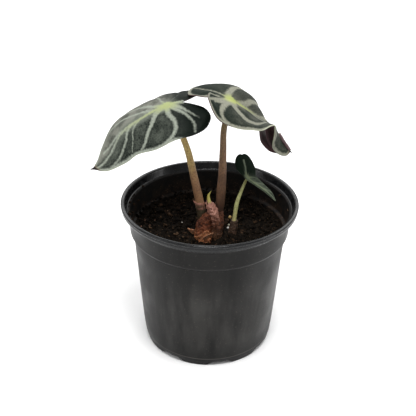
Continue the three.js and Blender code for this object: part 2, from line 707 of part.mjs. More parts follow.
function build() {
  const sockets = [
    toSolid(stalk(LEFT_STALK, LEFT_LEAF, { grow: GAP })),
    toSolid(stalk(RIGHT_STALK, RIGHT_LEAF, { grow: GAP })),
    toSolid(loft(SLEEVE, { ...SLEEVE_SHAPE, grow: GAP })),
    sheathEnd(GAP),
  ];
  const corm = largest(sockets.reduce((rest, socket) => rest.subtract(socket), humps(0)));
  const youngSocket = toSolid(stalk(YOUNG_STALK, YOUNG_LEAF, { grow: GAP }));
  const offset = largest(offsetCorm(0).subtract(youngSocket));
  const ground = soil([humps(GAP), offsetCorm(GAP), ...GRANULES.map((g) => granuleSolid(g, GAP))]);
  const leftStalk = toSolid(stalk(LEFT_STALK, LEFT_LEAF)).add(sheathEnd());

  const plant = new THREE.Group();
  plant.add(
    piece("pot", fromSolid(pot()), 0x2b2a29, 0.5),
    piece("soil", fromSolid(ground), 0x2a211a, 0.95),
    piece("corm", fromSolid(corm), 0x6b4030, 0.8),
    piece("flap_left", leftScale(), 0xb5622e, 0.7),
    piece("flap_front", frontScale({ from: 222, to: 312, low: 85, high: 92.5, curl: 1.5 }), 0xa8592c, 0.7),
    piece("pink_sheath", fromSolid(sleeve()), 0xa0665c, 0.75),
    piece("new_shoot", loft(SHOOT, { sides: 10, steps: 8 }), 0x8f8f3c, 0.55),
    piece("left_petiole", fromSolid(leftStalk), STALK_BROWN, 0.6),
    piece("left_blade", blade(LEFT_LEAF), LEAF_GREEN, 0.75),
    piece("right_petiole", stalk(RIGHT_STALK, RIGHT_LEAF), STALK_BROWN, 0.6),
    piece("right_blade", blade(RIGHT_LEAF), LEAF_GREEN, 0.75),
    piece("offset_corm", fromSolid(offset), 0x5d4030, 0.85),
    piece("young_petiole", stalk(YOUNG_STALK, YOUNG_LEAF, { sides: 8, steps: 10 }), 0x9aa05a, 0.55),
    piece("young_blade", blade(YOUNG_LEAF), 0x3f5238, 0.7),
  );
  for (const granule of GRANULES) {
    plant.add(piece(granule.name, fromSolid(granuleSolid(granule, 0)), granule.colour, 0.8));
  }
  plant.position.x = ORIGIN_SHIFT;
  return plant;
}

const pottedPlant = new THREE.Group();
pottedPlant.add(build());

export default pottedPlant;
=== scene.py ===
# %% [markdown]
# # A young aroid in a nursery pot
# The plant has two large drooping velvet leaves, a third leaf that is still half rolled, and a swollen stem
# base in dark peat. It stands in a thin black plastic pot. This notebook dresses the measured solids of the
# pot and plant with finer surfaces: quilted blades with pale veins, speckled stalks, papery scales, crumbly
# soil and satin plastic. Every piece is modelled in place, in metres, and it keeps the form of the solid
# that it stands for.

# %% Load the measured solids
import math

import bmesh
import bpy
import numpy as np
from mathutils import Matrix, Vector, noise


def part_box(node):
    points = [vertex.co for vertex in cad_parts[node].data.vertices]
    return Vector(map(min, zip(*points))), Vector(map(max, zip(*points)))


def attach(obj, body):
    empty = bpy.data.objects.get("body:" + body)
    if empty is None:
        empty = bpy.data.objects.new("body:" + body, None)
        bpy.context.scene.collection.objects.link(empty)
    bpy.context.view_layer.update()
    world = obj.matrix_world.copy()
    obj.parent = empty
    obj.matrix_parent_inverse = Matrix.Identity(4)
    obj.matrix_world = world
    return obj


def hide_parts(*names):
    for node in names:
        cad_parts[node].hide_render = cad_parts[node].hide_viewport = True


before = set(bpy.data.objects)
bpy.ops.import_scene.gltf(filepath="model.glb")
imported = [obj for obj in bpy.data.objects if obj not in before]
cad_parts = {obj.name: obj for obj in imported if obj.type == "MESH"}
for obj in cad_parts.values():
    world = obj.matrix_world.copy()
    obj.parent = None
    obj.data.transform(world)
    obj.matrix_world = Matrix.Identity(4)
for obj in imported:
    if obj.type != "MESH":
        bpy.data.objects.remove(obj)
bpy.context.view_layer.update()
print("solids:", sorted(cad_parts))

# %% [markdown]
# All sizes below are millimetres measured from the pot's own axis, with the table at height 0, because that
# is how a grower would measure such a plant. The pot's box gives the axis, so the sizes need only one
# shift.

# %% Measure from the pot's axis
MM = 0.001
pot_low, pot_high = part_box("pot")
AXIS = np.array([(pot_low.x + pot_high.x) / 2, (pot_low.y + pot_high.y) / 2, 0.0])
print("pot axis", AXIS.round(4), "rim radius", round((pot_high.y - pot_low.y) / 2 / MM, 2))


def to_metres(spots):
    """Places in millimetres from the pot's axis, as metres in the scene."""
    return np.asarray(spots, float) * MM + AXIS


def add_object(name, data):
    made = bpy.data.objects.new(name, data)
    bpy.context.scene.collection.objects.link(made)
    return made


def to_data(name, mesh):
    """Turns a bmesh into mesh data and frees it."""
    data = bpy.data.meshes.new(name)
    mesh.to_mesh(data)
    mesh.free()
    return data


def look_from(item, place, aim):
    """Puts a camera or a light at a place in metres and turns it to its aim."""
    item.location = Vector(place)
    item.rotation_euler = (Vector(aim) - Vector(place)).to_track_quat("-Z", "Y").to_euler()


# %% [markdown]
# ## Camera, floor and light
# The plant is seen from a little above, from about half a metre, so the lens is long enough to keep the
# pot's sides from spreading. The camera stands in front of the pot and is rolled by less than one degree.

# %% Camera
CAMERA_PLACE = (-1.1, -438.2, 348.9)
CAMERA_AIM = (-1.1, 0, 100)
CAMERA_ROLL = 0.9  # degrees
CAMERA_LENS = 64.1


def add_camera():
    camera = add_object("camera", bpy.data.cameras.new("camera"))
    look_from(camera, to_metres(CAMERA_PLACE), to_metres(CAMERA_AIM))
    camera.rotation_euler.rotate_axis("Z", math.radians(CAMERA_ROLL))
    camera.data.lens = CAMERA_LENS
    camera.data.sensor_width = 36
    camera.data.clip_start = 0.02
    camera.data.clip_end = 30
    bpy.context.scene.camera = camera
    return camera


print("camera at", tuple(round(c, 4) for c in add_camera().location))

# %% [markdown]
# The light is a plain studio: a bright even room, one soft panel overhead, two weaker panels at the sides
# that draw the long pale edges on the pot, and one that washes the floor behind.


# %% Lights
def add_panel(name, place, aim, size, power):
    """A soft rectangular light; the place and aim are in metres."""
    light = bpy.data.lights.new(name, "AREA")
    light.shape = "RECTANGLE"
    light.size, light.size_y = size
    light.energy = power
    look_from(add_object(name, light), place, aim)


def light_room(strength):
    world = bpy.data.worlds.new("studio")
    bpy.context.scene.world = world
    world.use_nodes = True
    sockets = world.node_tree.nodes["Background"].inputs
    sockets["Color"].default_value = (1, 1, 1, 1)
    sockets["Strength"].default_value = strength


light_room(0.56)
add_panel("overhead", (0.05, -0.3, 1.2), (0, 0, 0.08), (0.4, 0.3), 11)
add_panel("left side", (-1.1, -0.5, 0.55), (0, 0, 0.07), (0.4, 0.9), 3.4)
add_panel("right side", (1.2, -0.3, 0.5), (0, 0, 0.07), (0.4, 0.9), 3.4)
add_panel("floor wash", (0, 1.5, 1.3), (0, 1.2, 0), (3.0, 1.6), 34)
bpy.context.scene.view_settings.view_transform = "Standard"

# %% [markdown]
# ## Helpers for materials
# One helper adds a node and fills its sockets from numbers, colours or other nodes' outputs. It returns an
# output as a value that can be added, multiplied and ramped, so a pattern reads like a sum.


# %% Node helpers
class Value:
    """A node's output. Sums, products and ramps of values add the nodes that they need."""

    def __init__(self, tree, socket):
        self.tree = tree
        self.socket = socket

    def math(self, operation, other=0.5, clamp=False):
        return add_node(self.tree, "Math", {0: self, 1: other}, operation=operation, use_clamp=clamp)

    def __add__(self, other):
        return self.math("ADD", other)

    def __sub__(self, other):
        return self.math("SUBTRACT", other)

    def __mul__(self, other):
        return self.math("MULTIPLY", other)

    def __rsub__(self, other):
        return add_node(self.tree, "Math", {0: other, 1: self}, operation="SUBTRACT")

    def __rtruediv__(self, other):
        return add_node(self.tree, "Math", {0: other, 1: self}, operation="DIVIDE")

    def ramp(self, low, high, to_low=0.0, to_high=1.0):
        """A smooth step between two limits."""
        limits = {"Value": self, "From Min": low, "From Max": high, "To Min": to_low, "To Max": to_high}
        return add_node(self.tree, "MapRange", limits, interpolation_type="SMOOTHSTEP")


def add_node(tree, kind, sockets=None, output=0, **settings):
    """Adds a shader node whose sockets take numbers, colours or values, and returns one of its outputs."""
    made = tree.nodes.new("ShaderNode" + kind)
    for key, value in settings.items():
        setattr(made, key, value)
    for key, value in (sockets or {}).items():
        socket = made.inputs[key]
        if isinstance(value, Value):
            tree.links.new(value.socket, socket)
        else:
            socket.default_value = (*value, 1) if socket.type == "RGBA" else value
    return Value(tree, made.outputs[output])


def noise_value(place, scale, detail, output="Fac", **more):
    sockets = {"Vector": place, "Scale": scale, "Detail": detail, **more}
    return add_node(place.tree, "TexNoise", sockets, output)


# %% [markdown]
# Three effects come back in many finishes. Blotches are soft clouds at a chosen size, which keep a surface
# from being one flat colour. Speckles are small hard-edged dots, such as flecks on a stalk or dust on
# plastic. Fibres are noise stretched along one direction, as on papery skin. Each is a node group, made
# once.


# %% Shared effects
def make_effect(name, numbers, rule):
    """A node group that takes a place and some numbers and gives a mask."""
    group = bpy.data.node_groups.new(name, "ShaderNodeTree")
    group.interface.new_socket("Place", in_out="INPUT", socket_type="NodeSocketVector")
    for label, value in numbers.items():
        socket = group.interface.new_socket(label, in_out="INPUT", socket_type="NodeSocketFloat")
        socket.default_value = value
    group.interface.new_socket("Mask", in_out="OUTPUT", socket_type="NodeSocketFloat")
    entry = group.nodes.new("NodeGroupInput").outputs
    mask = rule(*(Value(group, entry[label]) for label in ("Place", *numbers)))
    group.links.new(mask.socket, group.nodes.new("NodeGroupOutput").inputs["Mask"])
    return group


def blotch_mask(place, size, detail):
    """Soft clouds; the size is in millimetres."""
    return noise_value(place, 1000 / size, detail).ramp(0.32, 0.68)


def speckle_mask(place, size, share):
    """Small dots; the share is how much of the surface they take."""
    dots = noise_value(place, 1000 / size, 2.0, Roughness=0.4)
    return (dots - (0.72 - share * 0.4)).ramp(-0.02, 0.05)


def fibre_mask(place, width, length):
    """Noise drawn out along Z: the width is across the fibres and the length along them, in millimetres."""
    across = 1000 / width
    scale = add_node(place.tree, "CombineXYZ", {"X": across, "Y": across, "Z": 1000 / length})
    drawn = add_node(place.tree, "VectorMath", {0: place, 1: scale}, operation="MULTIPLY")
    return noise_value(drawn, 1.0, 4.0, Roughness=0.6).ramp(0.3, 0.7)


BLOTCHES = make_effect("blotches", {"Size": 6.0, "Detail": 3.0}, blotch_mask)
SPECKLES = make_effect("speckles", {"Size": 1.0, "Share": 0.3}, speckle_mask)
FIBRES = make_effect("fibres", {"Width": 0.6, "Length": 8.0}, fibre_mask)
print("shared effects:", [g.name for g in bpy.data.node_groups])

# %% [markdown]
# A finish is a material under way. Its methods add nodes and give values, and at the end the values go to
# the shader. Numbers that are the same all over the surface are set on the shader itself.


# %% Finishes
class Finish:
    """A material whose pattern lies in the object's own coordinates."""

    def __init__(self, name, roughness=0.5, **numbers):
        self.material = bpy.data.materials.new(name)
        self.material.use_nodes = True
        self.tree = self.material.node_tree
        self.shader = self.tree.nodes["Principled BSDF"]
        for key, value in {"Roughness": roughness, **numbers}.items():
            self.shader.inputs[key.replace("_", " ")].default_value = value
        self.place = self.find_place()

    def find_place(self):
        return add_node(self.tree, "TexCoord", output="Object")

    def height(self):
        return add_node(self.tree, "SeparateXYZ", {0: self.place}, "Z")

    def effect(self, group, **numbers):
        return add_node(self.tree, "Group", {"Place": self.place, **numbers}, "Mask", node_tree=group)

    def blotches(self, size, detail=3.0):
        return self.effect(BLOTCHES, Size=size, Detail=detail)

    def speckles(self, size, share):
        return self.effect(SPECKLES, Size=size, Share=share)

    def fibres(self, width, length):
        return self.effect(FIBRES, Width=width, Length=length)

    def mix(self, amount, first, second, blend="MIX"):
        """A mix of two colours."""
        sockets = {0: amount, 6: first, 7: second}
        return add_node(self.tree, "Mix", sockets, 2, data_type="RGBA", blend_type=blend)

    def bump(self, height, strength, depth):
        """Relief in the normal; the depth is in millimetres."""
        return add_node(self.tree, "Bump", {"Height": height, "Strength": strength, "Distance": depth * MM})

    def done(self, colour, roughness=None, normal=None):
        for key, value in (("Base Color", colour), ("Roughness", roughness), ("Normal", normal)):
            if value is not None:
                self.tree.links.new(value.socket, self.shader.inputs[key])
        return self.material


def darker(colour, share):
    return tuple(share * c for c in colour)


# %% [markdown]
# The floor is a wide pale sheet. It isn't part of the plant.


# %% Floor
def floor_finish():
    paint = Finish("pale floor", roughness=0.6)
    return paint.done(paint.mix(paint.blotches(400), (0.92, 0.92, 0.92), (0.94, 0.94, 0.94)))


def add_floor():
    sheet = bmesh.new()
    bmesh.ops.create_grid(sheet, x_segments=2, y_segments=2, size=4)
    floor = add_object("floor", to_data("floor", sheet))
    floor.data.materials.append(floor_finish())
    return floor


add_floor()
print("floor laid")

# %% [markdown]
# ## Helpers for shapes
# Leaves, stalks, scales and soil all start as one flat grid from bmesh, whose x and y run from 0 to 1. A
# rule then carries each of its points to a place on the real surface, as a sheet of clay is draped or
# rolled. Tables of a few measured stations give the rules, and a smooth curve runs through each table.


# %% Curves through tables
def smooth_table(x, places, rows):
    """A cubic through a table of values, with the mean slope inside and straight runs beyond its ends."""
    x = np.atleast_1d(np.asarray(x, float))
    places = np.asarray(places, float)
    rows = np.asarray(rows, float)
    steps = np.diff(places)
    rises = np.diff(rows, axis=0) / steps[:, None]
    weights = np.stack([steps[1:], steps[:-1]], -1) / (steps[1:] + steps[:-1])[:, None]
    inner = rises[:-1] * weights[:, :1] + rises[1:] * weights[:, 1:]
    slopes = np.vstack([rises[:1], inner, rises[-1:]])
    i = np.clip(np.searchsorted(places, x, side="right") - 1, 0, len(steps) - 1)
    t = ((x - places[i]) / steps[i])[:, None]
    s = np.clip(t, 0, 1)
    held = (2 * s**3 - 3 * s**2 + 1) * rows[i] + (3 * s**2 - 2 * s**3) * rows[i + 1]
    bent = (s**3 - 2 * s**2 + s) * slopes[i] + (s**3 - s**2) * slopes[i + 1]
    beyond = np.where(t < 0, slopes[i], slopes[i + 1]) * (t - s)
    return held + (bent + beyond) * steps[i][:, None]


def smooth_step(x, low, high):
    t = np.clip((np.asarray(x, float) - low) / (high - low), 0, 1)
    return t * t * (3 - 2 * t)


def rumple(spots, size, seed=0.0, octaves=3):
    """Seeded noise at places in millimetres, about -1 to 1; size is its wave length."""
    shift = Vector((seed * 17.3, seed * 5.1, seed * 9.7))
    return np.array([noise.fractal(Vector(p) / size + shift, 0.6, 2.0, octaves) for p in spots])


def lengths_along(rows):
    """How far along a line each of its points lies."""
    return np.concatenate([[0], np.cumsum(np.linalg.norm(np.diff(rows, axis=0), axis=1))])


def unit(vectors):
    return vectors / np.linalg.norm(vectors, axis=-1, keepdims=True)


# %% From a sheet to a piece
def unit_sheet(around, along):
    """A flat sheet of quads from a grid, with x and y from 0 to 1."""
    sheet = bmesh.new()
    bmesh.ops.create_grid(sheet, x_segments=around, y_segments=along, size=0.5)
    bmesh.ops.translate(sheet, verts=sheet.verts, vec=(0.5, 0.5, 0))
    return sheet


def read_points(mesh):
    return np.array([v.co for v in mesh.verts])


def write_points(mesh, spots):
    for v, spot in zip(mesh.verts, spots):
        v.co = spot


def rolled(rule, around, along, caps=True):
    """A sheet rolled into a tube. The rule turns an angle and a reach from 0 to 1 into places."""
    tube = unit_sheet(around, along)
    spots = read_points(tube)
    write_points(tube, rule(2 * np.pi * spots[:, 0], spots[:, 1]))
    bmesh.ops.remove_doubles(tube, verts=tube.verts, dist=1e-4)
    if caps:
        edges = [e for e in tube.edges if e.is_boundary]
        bmesh.ops.holes_fill(tube, edges=edges, sides=0)
    bmesh.ops.recalc_face_normals(tube, faces=tube.faces)
    return tube


def join_meshes(first, *others):
    """Adds other bmeshes to the first, through short-lived mesh data."""
    for other in others:
        carrier = to_data("carrier", other)
        first.from_mesh(carrier)
        bpy.data.meshes.remove(carrier)
    return first


def set_material(mesh, index):
    for face in mesh.faces:
        face.material_index = index
    return mesh


def to_piece(name, mesh, materials, slot, *stands_for):
    """Turns a bmesh in millimetres into a finished object that rides on the plant's one body."""
    write_points(mesh, to_metres(read_points(mesh)))
    for face in mesh.faces:
        face.smooth = True
    piece = add_object(name, to_data(name, mesh))
    for material in materials:
        piece.data.materials.append(material)
    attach(piece, "root")
    if stands_for:
        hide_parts(*stands_for)
    print(name, len(piece.data.polygons), "faces")
    return piece


def give_thickness(piece, thickness, offset=-1.0, group="", materials=0, rim=0):
    """A live modifier that makes a sheet a wall; the sheet itself is the outer face."""
    modifier = piece.modifiers.new("thickness", "SOLIDIFY")
    modifier.thickness = thickness * MM
    modifier.offset = offset
    modifier.vertex_group = group
    modifier.material_offset = materials
    modifier.material_offset_rim = rim


# %% [markdown]
# ## Leaves
# Each blade is drawn flat first, like a pressed leaf: one half of its outline from the tip to the notch
# behind the stalk, as distance along the midrib and distance out from it. A table of stations then bends
# it. Each station gives the midrib's place, and for the near and the far half the heading in degrees, the
# slope at the midrib and the slope at full width. That keeps the leaf's real surface, which bends but
# doesn't stretch. The lobe lift raises or lowers the back lobes a little more.

# %% Leaf tables
LEFT_LEAF = {
    "full_width": 30,
    "faces": (0, 0, 1),
    "lobe_lift": (0, 2),
    "outline": [
        (67, 0), (64.5, 0.9), (61, 4), (55, 8), (46, 13.5), (33, 20.5), (17, 27),
        (0, 28.5), (-14, 26.5), (-24, 20), (-28, 12), (-26, 6), (-20, 2.5), (-12, 0),
    ],
    "stations": [
        (-28, (-5, 14, 172), (-65, -20, -50), (116, 13, -42)),
        (0, (-29, 6, 172), (-75, -18, -42), (100, 15, -40)),
        (17, (-43.5, 1, 165.5), (-66, -18, -38), (100, 20, -40)),
        (35, (-57, -7, 157.5), (-52, -20, -35), (108, 25, -50)),
        (50, (-63.5, -17, 147), (-35, -12, -45), (125, 15, -45)),
        (60, (-69, -23.5, 142), (-40, -15, -50), (130, 15, -40)),
        (67, (-74.7, -26, 141.5), (-40, -20, -60), (140, 10, -50)),
    ],
}
RIGHT_LEAF = {
    "full_width": 30,
    "faces": (0, 0, 1),
    "lobe_lift": (1, -4.5),
    "outline": [
        (73, 0), (70.5, 1), (68, 3.8), (63, 6.5), (56, 10.5), (46, 18.5), (34, 25.5), (18, 28),
        (0, 28), (-14, 26), (-23, 20), (-27, 12), (-25, 6), (-19, 2.5), (-12, 0),
    ],
    "near_outline": [
        (73, 0), (70.5, 1), (68, 5), (63, 8.5), (56, 11.5), (46, 16.5), (34, 22), (18, 26.5),
        (0, 28), (-14, 26), (-23, 20), (-27, 12), (-25, 6), (-19, 2.5), (-12, 0),
    ],
    "stations": [
        (-26, (-2, 0, 184), (-87, 12, -45), (140, 2, -30)),
        (-12, (4, 4, 179.5), (-86, 5, -38), (125, 17, -28)),
        (0, (13.4, 8, 175), (-84, 0, -34), (98, 36, -40)),
        (12, (21, 14, 168), (-80, 3, -22), (85, 42, -46)),
        (23, (30, 21, 159.5), (-84, 5, -2), (84, 40, -78)),
        (34, (39, 27, 152), (-88, 18, 22), (106, 14, -122)),
        (42, (44, 30.5, 147), (-94, 25, 28), (128, -22, -116)),
        (50, (48, 33, 140), (-110, 22, 15), (144, -55, -110)),
        (58, (51.5, 35, 134), (-135, -10, -40), (152, -75, -108)),
        (65, (54.5, 36, 129.5), (-130, -35, -60), (150, -60, -95)),
        (73, (58, 36.5, 125.5), (-110, -50, -60), (110, 0, -60)),
    ],
}
YOUNG_LEAF = {
    "full_width": 9,
    "faces": (0, -1, 0),
    "outline": [
        (30, 0), (28, 0.6), (22, 1.9), (12, 3.2), (4, 5.2), (-4, 7),
        (-12, 7.2), (-18, 6), (-21, 3), (-21.5, 1), (-20.8, 0),
    ],
    "near_outline": [
        (30, 0), (28, 0.4), (22, 1.2), (12, 1.5), (4, 1.5), (-2, 2.2),
        (-8, 5), (-14, 7), (-18.5, 5.8), (-21, 3), (-21.5, 1), (-20.8, 0),
    ],
    "stations": [
        (-20, (21.5, 11, 134.5), (-172, 5, -70), (20, 10, -70)),
        (-10, (23.5, 9, 127.5), (-170, -15, -70), (15, 15, -50)),
        (0, (25.6, 8, 119.7), (-160, -30, -80), (20, 30, -50)),
        (6, (30, 7.5, 116.2), (-125, -50, -120), (35, 35, -60)),
        (14, (36.5, 7.5, 111.5), (-120, -50, -150), (50, 40, -60)),
        (22, (42, 7.5, 106.4), (-120, -50, -150), (50, 40, -60)),
        (30, (45.6, 7.5, 102), (-120, -30, -60), (60, 10, 0)),
    ],
}
print("stations:", [len(leaf["stations"]) for leaf in (LEFT_LEAF, RIGHT_LEAF, YOUNG_LEAF)])


# %% Drape rule
def on_blade(leaf, along, out):
    """Places on the blade's middle surface, from distances along and out from the midrib on the flat leaf."""
    along = np.atleast_1d(np.asarray(along, float))
    out = np.atleast_1d(np.asarray(out, float))
    places, *columns = zip(*leaf["stations"])
    middle, near, far = (smooth_table(along, places, column) for column in columns)
    heading, inner, outer = np.radians(np.where(out[:, None] >= 0, near, far)).T
    rate = (outer - inner) / leaf["full_width"]
    rate = np.where(np.abs(rate) < 1e-6, 1e-6, rate)
    turned = inner + rate * np.abs(out)
    flat = (np.sin(turned) - np.sin(inner)) / rate
    rise = (np.cos(inner) - np.cos(turned)) / rate
    near_lift, far_lift = leaf.get("lobe_lift", (0, 0))
    rise += np.where(out >= 0, near_lift, far_lift) * smooth_step(-along, 8, 26)
    return middle + np.stack([flat * np.cos(heading), flat * np.sin(heading), rise], -1)


def rim_points(leaf, count):
    """The flat blade's whole rim: the near half from tip to notch, then the far half back to the tip."""
    halves = []
    for key in ("near_outline", "outline"):
        rows = np.array(leaf.get(key, leaf["outline"]), float)
        lengths = lengths_along(rows)
        halves.append(smooth_table(np.linspace(0, lengths[-1], count), lengths, rows))
    return np.vstack([halves[0], halves[1][-2::-1] * (1, -1)])


print("left rim:", rim_points(LEFT_LEAF, 5).round(1).tolist())

# %% [markdown]
# The veins follow the real leaf. From the stalk point a midrib runs to the tip, and pale side veins curve
# out to a pale band inside the margin. Each vein is a few points on the flat leaf with its half width at
# the root and at the end, and one below nothing fades out. Points out from the midrib are positive on the
# near half and negative on the far half.

# %% Vein tables
LEFT_VEINS = [
    ([(-12, 0), (0, 0), (20, 0), (45, 0), (66, 0)], 1.3, 0.6),
    ([(3, 0.5), (9, 4), (13, 8.5), (19, 13.8), (24, 18.5), (31, 21)], 2.6, 0.6),
    ([(0, 0.5), (0, 8.5), (-2.8, 14.8), (-2.8, 20), (1, 25.3), (8, 27.5)], 2.3, 0.9),
    ([(-1, 0.5), (-6, 5.8), (-12.8, 12.8), (-15.5, 19.4), (-14.4, 24.5)], 2.4, 0.4),
    ([(-1, 0.5), (-9.2, 4.8), (-16.2, 11), (-19.5, 13.8)], 3.2, 0.2),
    ([(26, 0.2), (30.3, 2.1), (35.3, 6.5), (44, 7.4), (55, 6.6)], 1.0, 0.5),
    ([(20, 0.2), (27.5, 4.8), (31.2, 10.7), (37, 15.5)], 0.5, 0.15),
    ([(3, -0.5), (9, -4.5), (15, -10.5), (23, -16), (31, -20.5)], 1.5, 0.7),
    ([(10, -0.5), (16.2, -4.5), (24.6, -7.5), (33, -10.5), (42, -14)], 1.3, 0.6),
    ([(0, -0.5), (3, -7), (4, -14), (7, -22), (13, -26)], 0.5, 0.4),
    ([(-1, -0.5), (-7, -6), (-13, -13), (-15, -22)], -0.3, -0.6),
    ([(34, -0.4), (38, -1.8), (44, -3.4), (52, -5.4)], 1.0, 0.7),
]
RIGHT_VEINS = [
    ([(-1, 0), (6, 0), (20, 0), (45, 0), (72, 0)], 1.6, 0.8),
    ([(-2, 1), (-4.6, 5.8), (-9.1, 14.2), (-10.5, 19.8), (-9.1, 24.4), (-4, 27.3)], 3.6, 1.0),
    ([(0.5, 1), (1.2, 8.8), (6, 15), (10, 19), (18, 18.5), (25, 14), (30, 9)], 3.3, 1.1),
    ([(-2, 1), (-6, 3.8), (-11, 6), (-19, 10.5), (-24, 13)], 3.6, 1.2),
    ([(-2, 1.5), (-7, 5.5), (-12, 9), (-17, 12)], 4.0, 1.0),
    ([(17, 0.4), (23, 4), (29, 6), (36, 12), (43, 17)], 1.3, 0.9),
    ([(34, 0.4), (40, 4), (48, 9), (54, 12)], 1.3, 0.9),
    ([(-2, -0.6), (-2.6, -3), (0, -8), (4, -15), (10, -21), (18, -27)], 2.3, 1.6),
    ([(8, -0.4), (13, -3), (19, -10), (26, -16), (36, -21), (42, -21.5)], 2.3, 1.7),
    ([(-3, -0.5), (-9, -5), (-14, -12), (-15, -22)], 0.8, 0.3),
    ([(27, -0.4), (34, -4), (42, -10), (52, -14)], 1.3, 0.7),
    ([(44, -0.4), (51, -3), (58, -8), (62, -9)], 1.0, 0.6),
]
YOUNG_VEINS = [
    ([(-16, 0), (0, 0), (15, 0), (29, 0)], 0.55, 0.35),
    ([(0, 0.2), (-4, 2), (-9, 3.2), (-14, 4.5)], 0.15, -0.5),
    ([(0, 0.2), (-7, 1.2), (-14, 2.2), (-18, 3)], 0.15, -0.5),
    ([(0, -0.2), (-4, -2), (-9, -4), (-14, -5)], 0.15, -0.5),
    ([(0, -0.2), (2, -3), (5, -5), (8, -5.5)], 0.35, 0.15),
    ([(6, -0.1), (10, -2), (14, -3.4), (18, -3.6)], 0.3, 0.15),
    ([(14, -0.1), (18, -1.4), (22, -2.2)], 0.25, 0.12),
]


# %% Distances from the veins
def vein_samples(points, per_step=8):
    """A smooth line through a vein's points, with how far along it each sample lies."""
    rows = np.array(points, float)
    lengths = lengths_along(rows)
    reach = np.linspace(0, 1, per_step * (len(rows) - 1) + 1)
    return smooth_table(reach * lengths[-1], lengths, rows), reach


def distance_to_line(flat, line, reach):
    """Distance from each flat point to a line of samples, and how far along the line the nearest place is."""
    best = np.full(len(flat), 1e9)
    best_reach = np.zeros(len(flat))
    for k in range(len(line) - 1):
        start = line[k]
        step = line[k + 1] - start
        t = np.clip((flat - start) @ step / (step @ step), 0, 1)
        gap = np.linalg.norm(flat - start - t[:, None] * step, axis=1)
        closer = gap < best
        best = np.where(closer, gap, best)
        best_reach = np.where(closer, reach[k] + t * (reach[k + 1] - reach[k]), best_reach)
    return best, best_reach


def vein_fields(flat, veins):
    """For each flat point, the distance to the nearest pale band's edge and to the nearest vein's middle."""
    soft = 0.45
    total = np.zeros(len(flat))
    core = np.full(len(flat), 1e9)
    for points, root, end in veins:
        line, reach = vein_samples(points)
        gap, where = distance_to_line(flat, line, reach)
        half_width = root + (end - root) * where**0.6
        total += np.exp(-np.clip(gap - half_width, -6, 40) / soft)
        core = np.minimum(core, gap)
    return -soft * np.log(np.maximum(total, 1e-30)), core


print("first vein:", vein_samples(LEFT_VEINS[1][0], 2)[0].round(1).tolist())


# %% [markdown]
# A leaf is built from a grid whose columns are rays from the stalk point and whose rows are rings out to
# the rim. The blade is quilted: the skin between the veins swells up a little and the veins lie in soft
# channels, and below the veins stand out as ridges. Round the stalk point the normals are evened out, so
# that the fold along the midrib can't turn the small faces there. The vein distances are kept on the mesh
# for the finish.


# %% Leaf builder
def rest_on_mesh(sheet, keys):
    """Keeps a number per point on the mesh, for the finish to read by its name."""
    for key, numbers in keys.items():
        layer = sheet.verts.layers.float.new(key)
        for v, number in zip(sheet.verts, numbers):
            v[layer] = number


def evened_normals(sheet, flat, faces):
    """The sheet's normals, turned to the upper side and blended to one direction round the stalk point."""
    sheet.normal_update()
    centre = int(np.argmin(np.abs(flat).sum(1)))
    if [*sheet.verts][centre].normal.dot(Vector(faces)) < 0:
        bmesh.ops.reverse_faces(sheet, faces=sheet.faces)
        sheet.normal_update()
    normals = np.array([v.normal for v in sheet.verts])
    apart = smooth_step(np.hypot(flat[:, 0], flat[:, 1]), 0.5, 4)[:, None]
    return unit(normals[centre] * (1 - apart) + normals * apart)


def build_leaf(name, node, leaf, veins, rays, rings, materials, sink, thickness, band):
    """A quilted blade; sink is how deep the veins lie, and band gives the half width of the pale margin."""
    sheet = unit_sheet(rays, rings)
    spots = read_points(sheet)
    rim = rim_points(leaf, rays // 2 + 1)
    rim_reach = np.linspace(0, 1, len(rim))
    outer = np.stack([np.interp(spots[:, 0], rim_reach, rim[:, k]) for k in (0, 1)], -1)
    flat = outer * spots[:, 1:2] ** 0.8
    write_points(sheet, np.column_stack([flat, np.zeros(len(flat))]))
    bmesh.ops.remove_doubles(sheet, verts=sheet.verts, dist=5e-4)
    flat = read_points(sheet)[:, :2]
    along, out = flat.T
    edge, core = vein_fields(flat, veins)
    margin, _ = distance_to_line(flat, rim, rim_reach)
    edge = np.minimum(edge, margin - band(along, out))

    places = on_blade(leaf, along, out)
    write_points(sheet, places)
    normals = evened_normals(sheet, flat, leaf["faces"])
    swell = smooth_step(edge, -0.4, 4.5) * smooth_step(margin, 0, 3)
    ripple = rumple(np.column_stack([flat, np.full(len(flat), 3.0)]), 5.0, seed=len(veins))
    lift = thickness / 2 - sink * (1 - swell) + 0.12 * sink * ripple * smooth_step(margin, 0, 4)
    write_points(sheet, places + normals * lift[:, None])

    rest_on_mesh(sheet, {"vein": edge, "along": along, "out": out})
    deform = sheet.verts.layers.deform.verify()
    ridge = 1 - smooth_step(core, 0.1, 1.3)
    for v, weight in zip(sheet.verts, 0.5 + 0.5 * ridge * np.minimum(1, margin / 6)):
        v[deform][0] = float(weight)
    piece = to_piece(name, sheet, materials, "leaf", node)
    piece.vertex_groups.new(name="thick")
    give_thickness(piece, thickness * 2, group="thick", materials=1, rim=2)
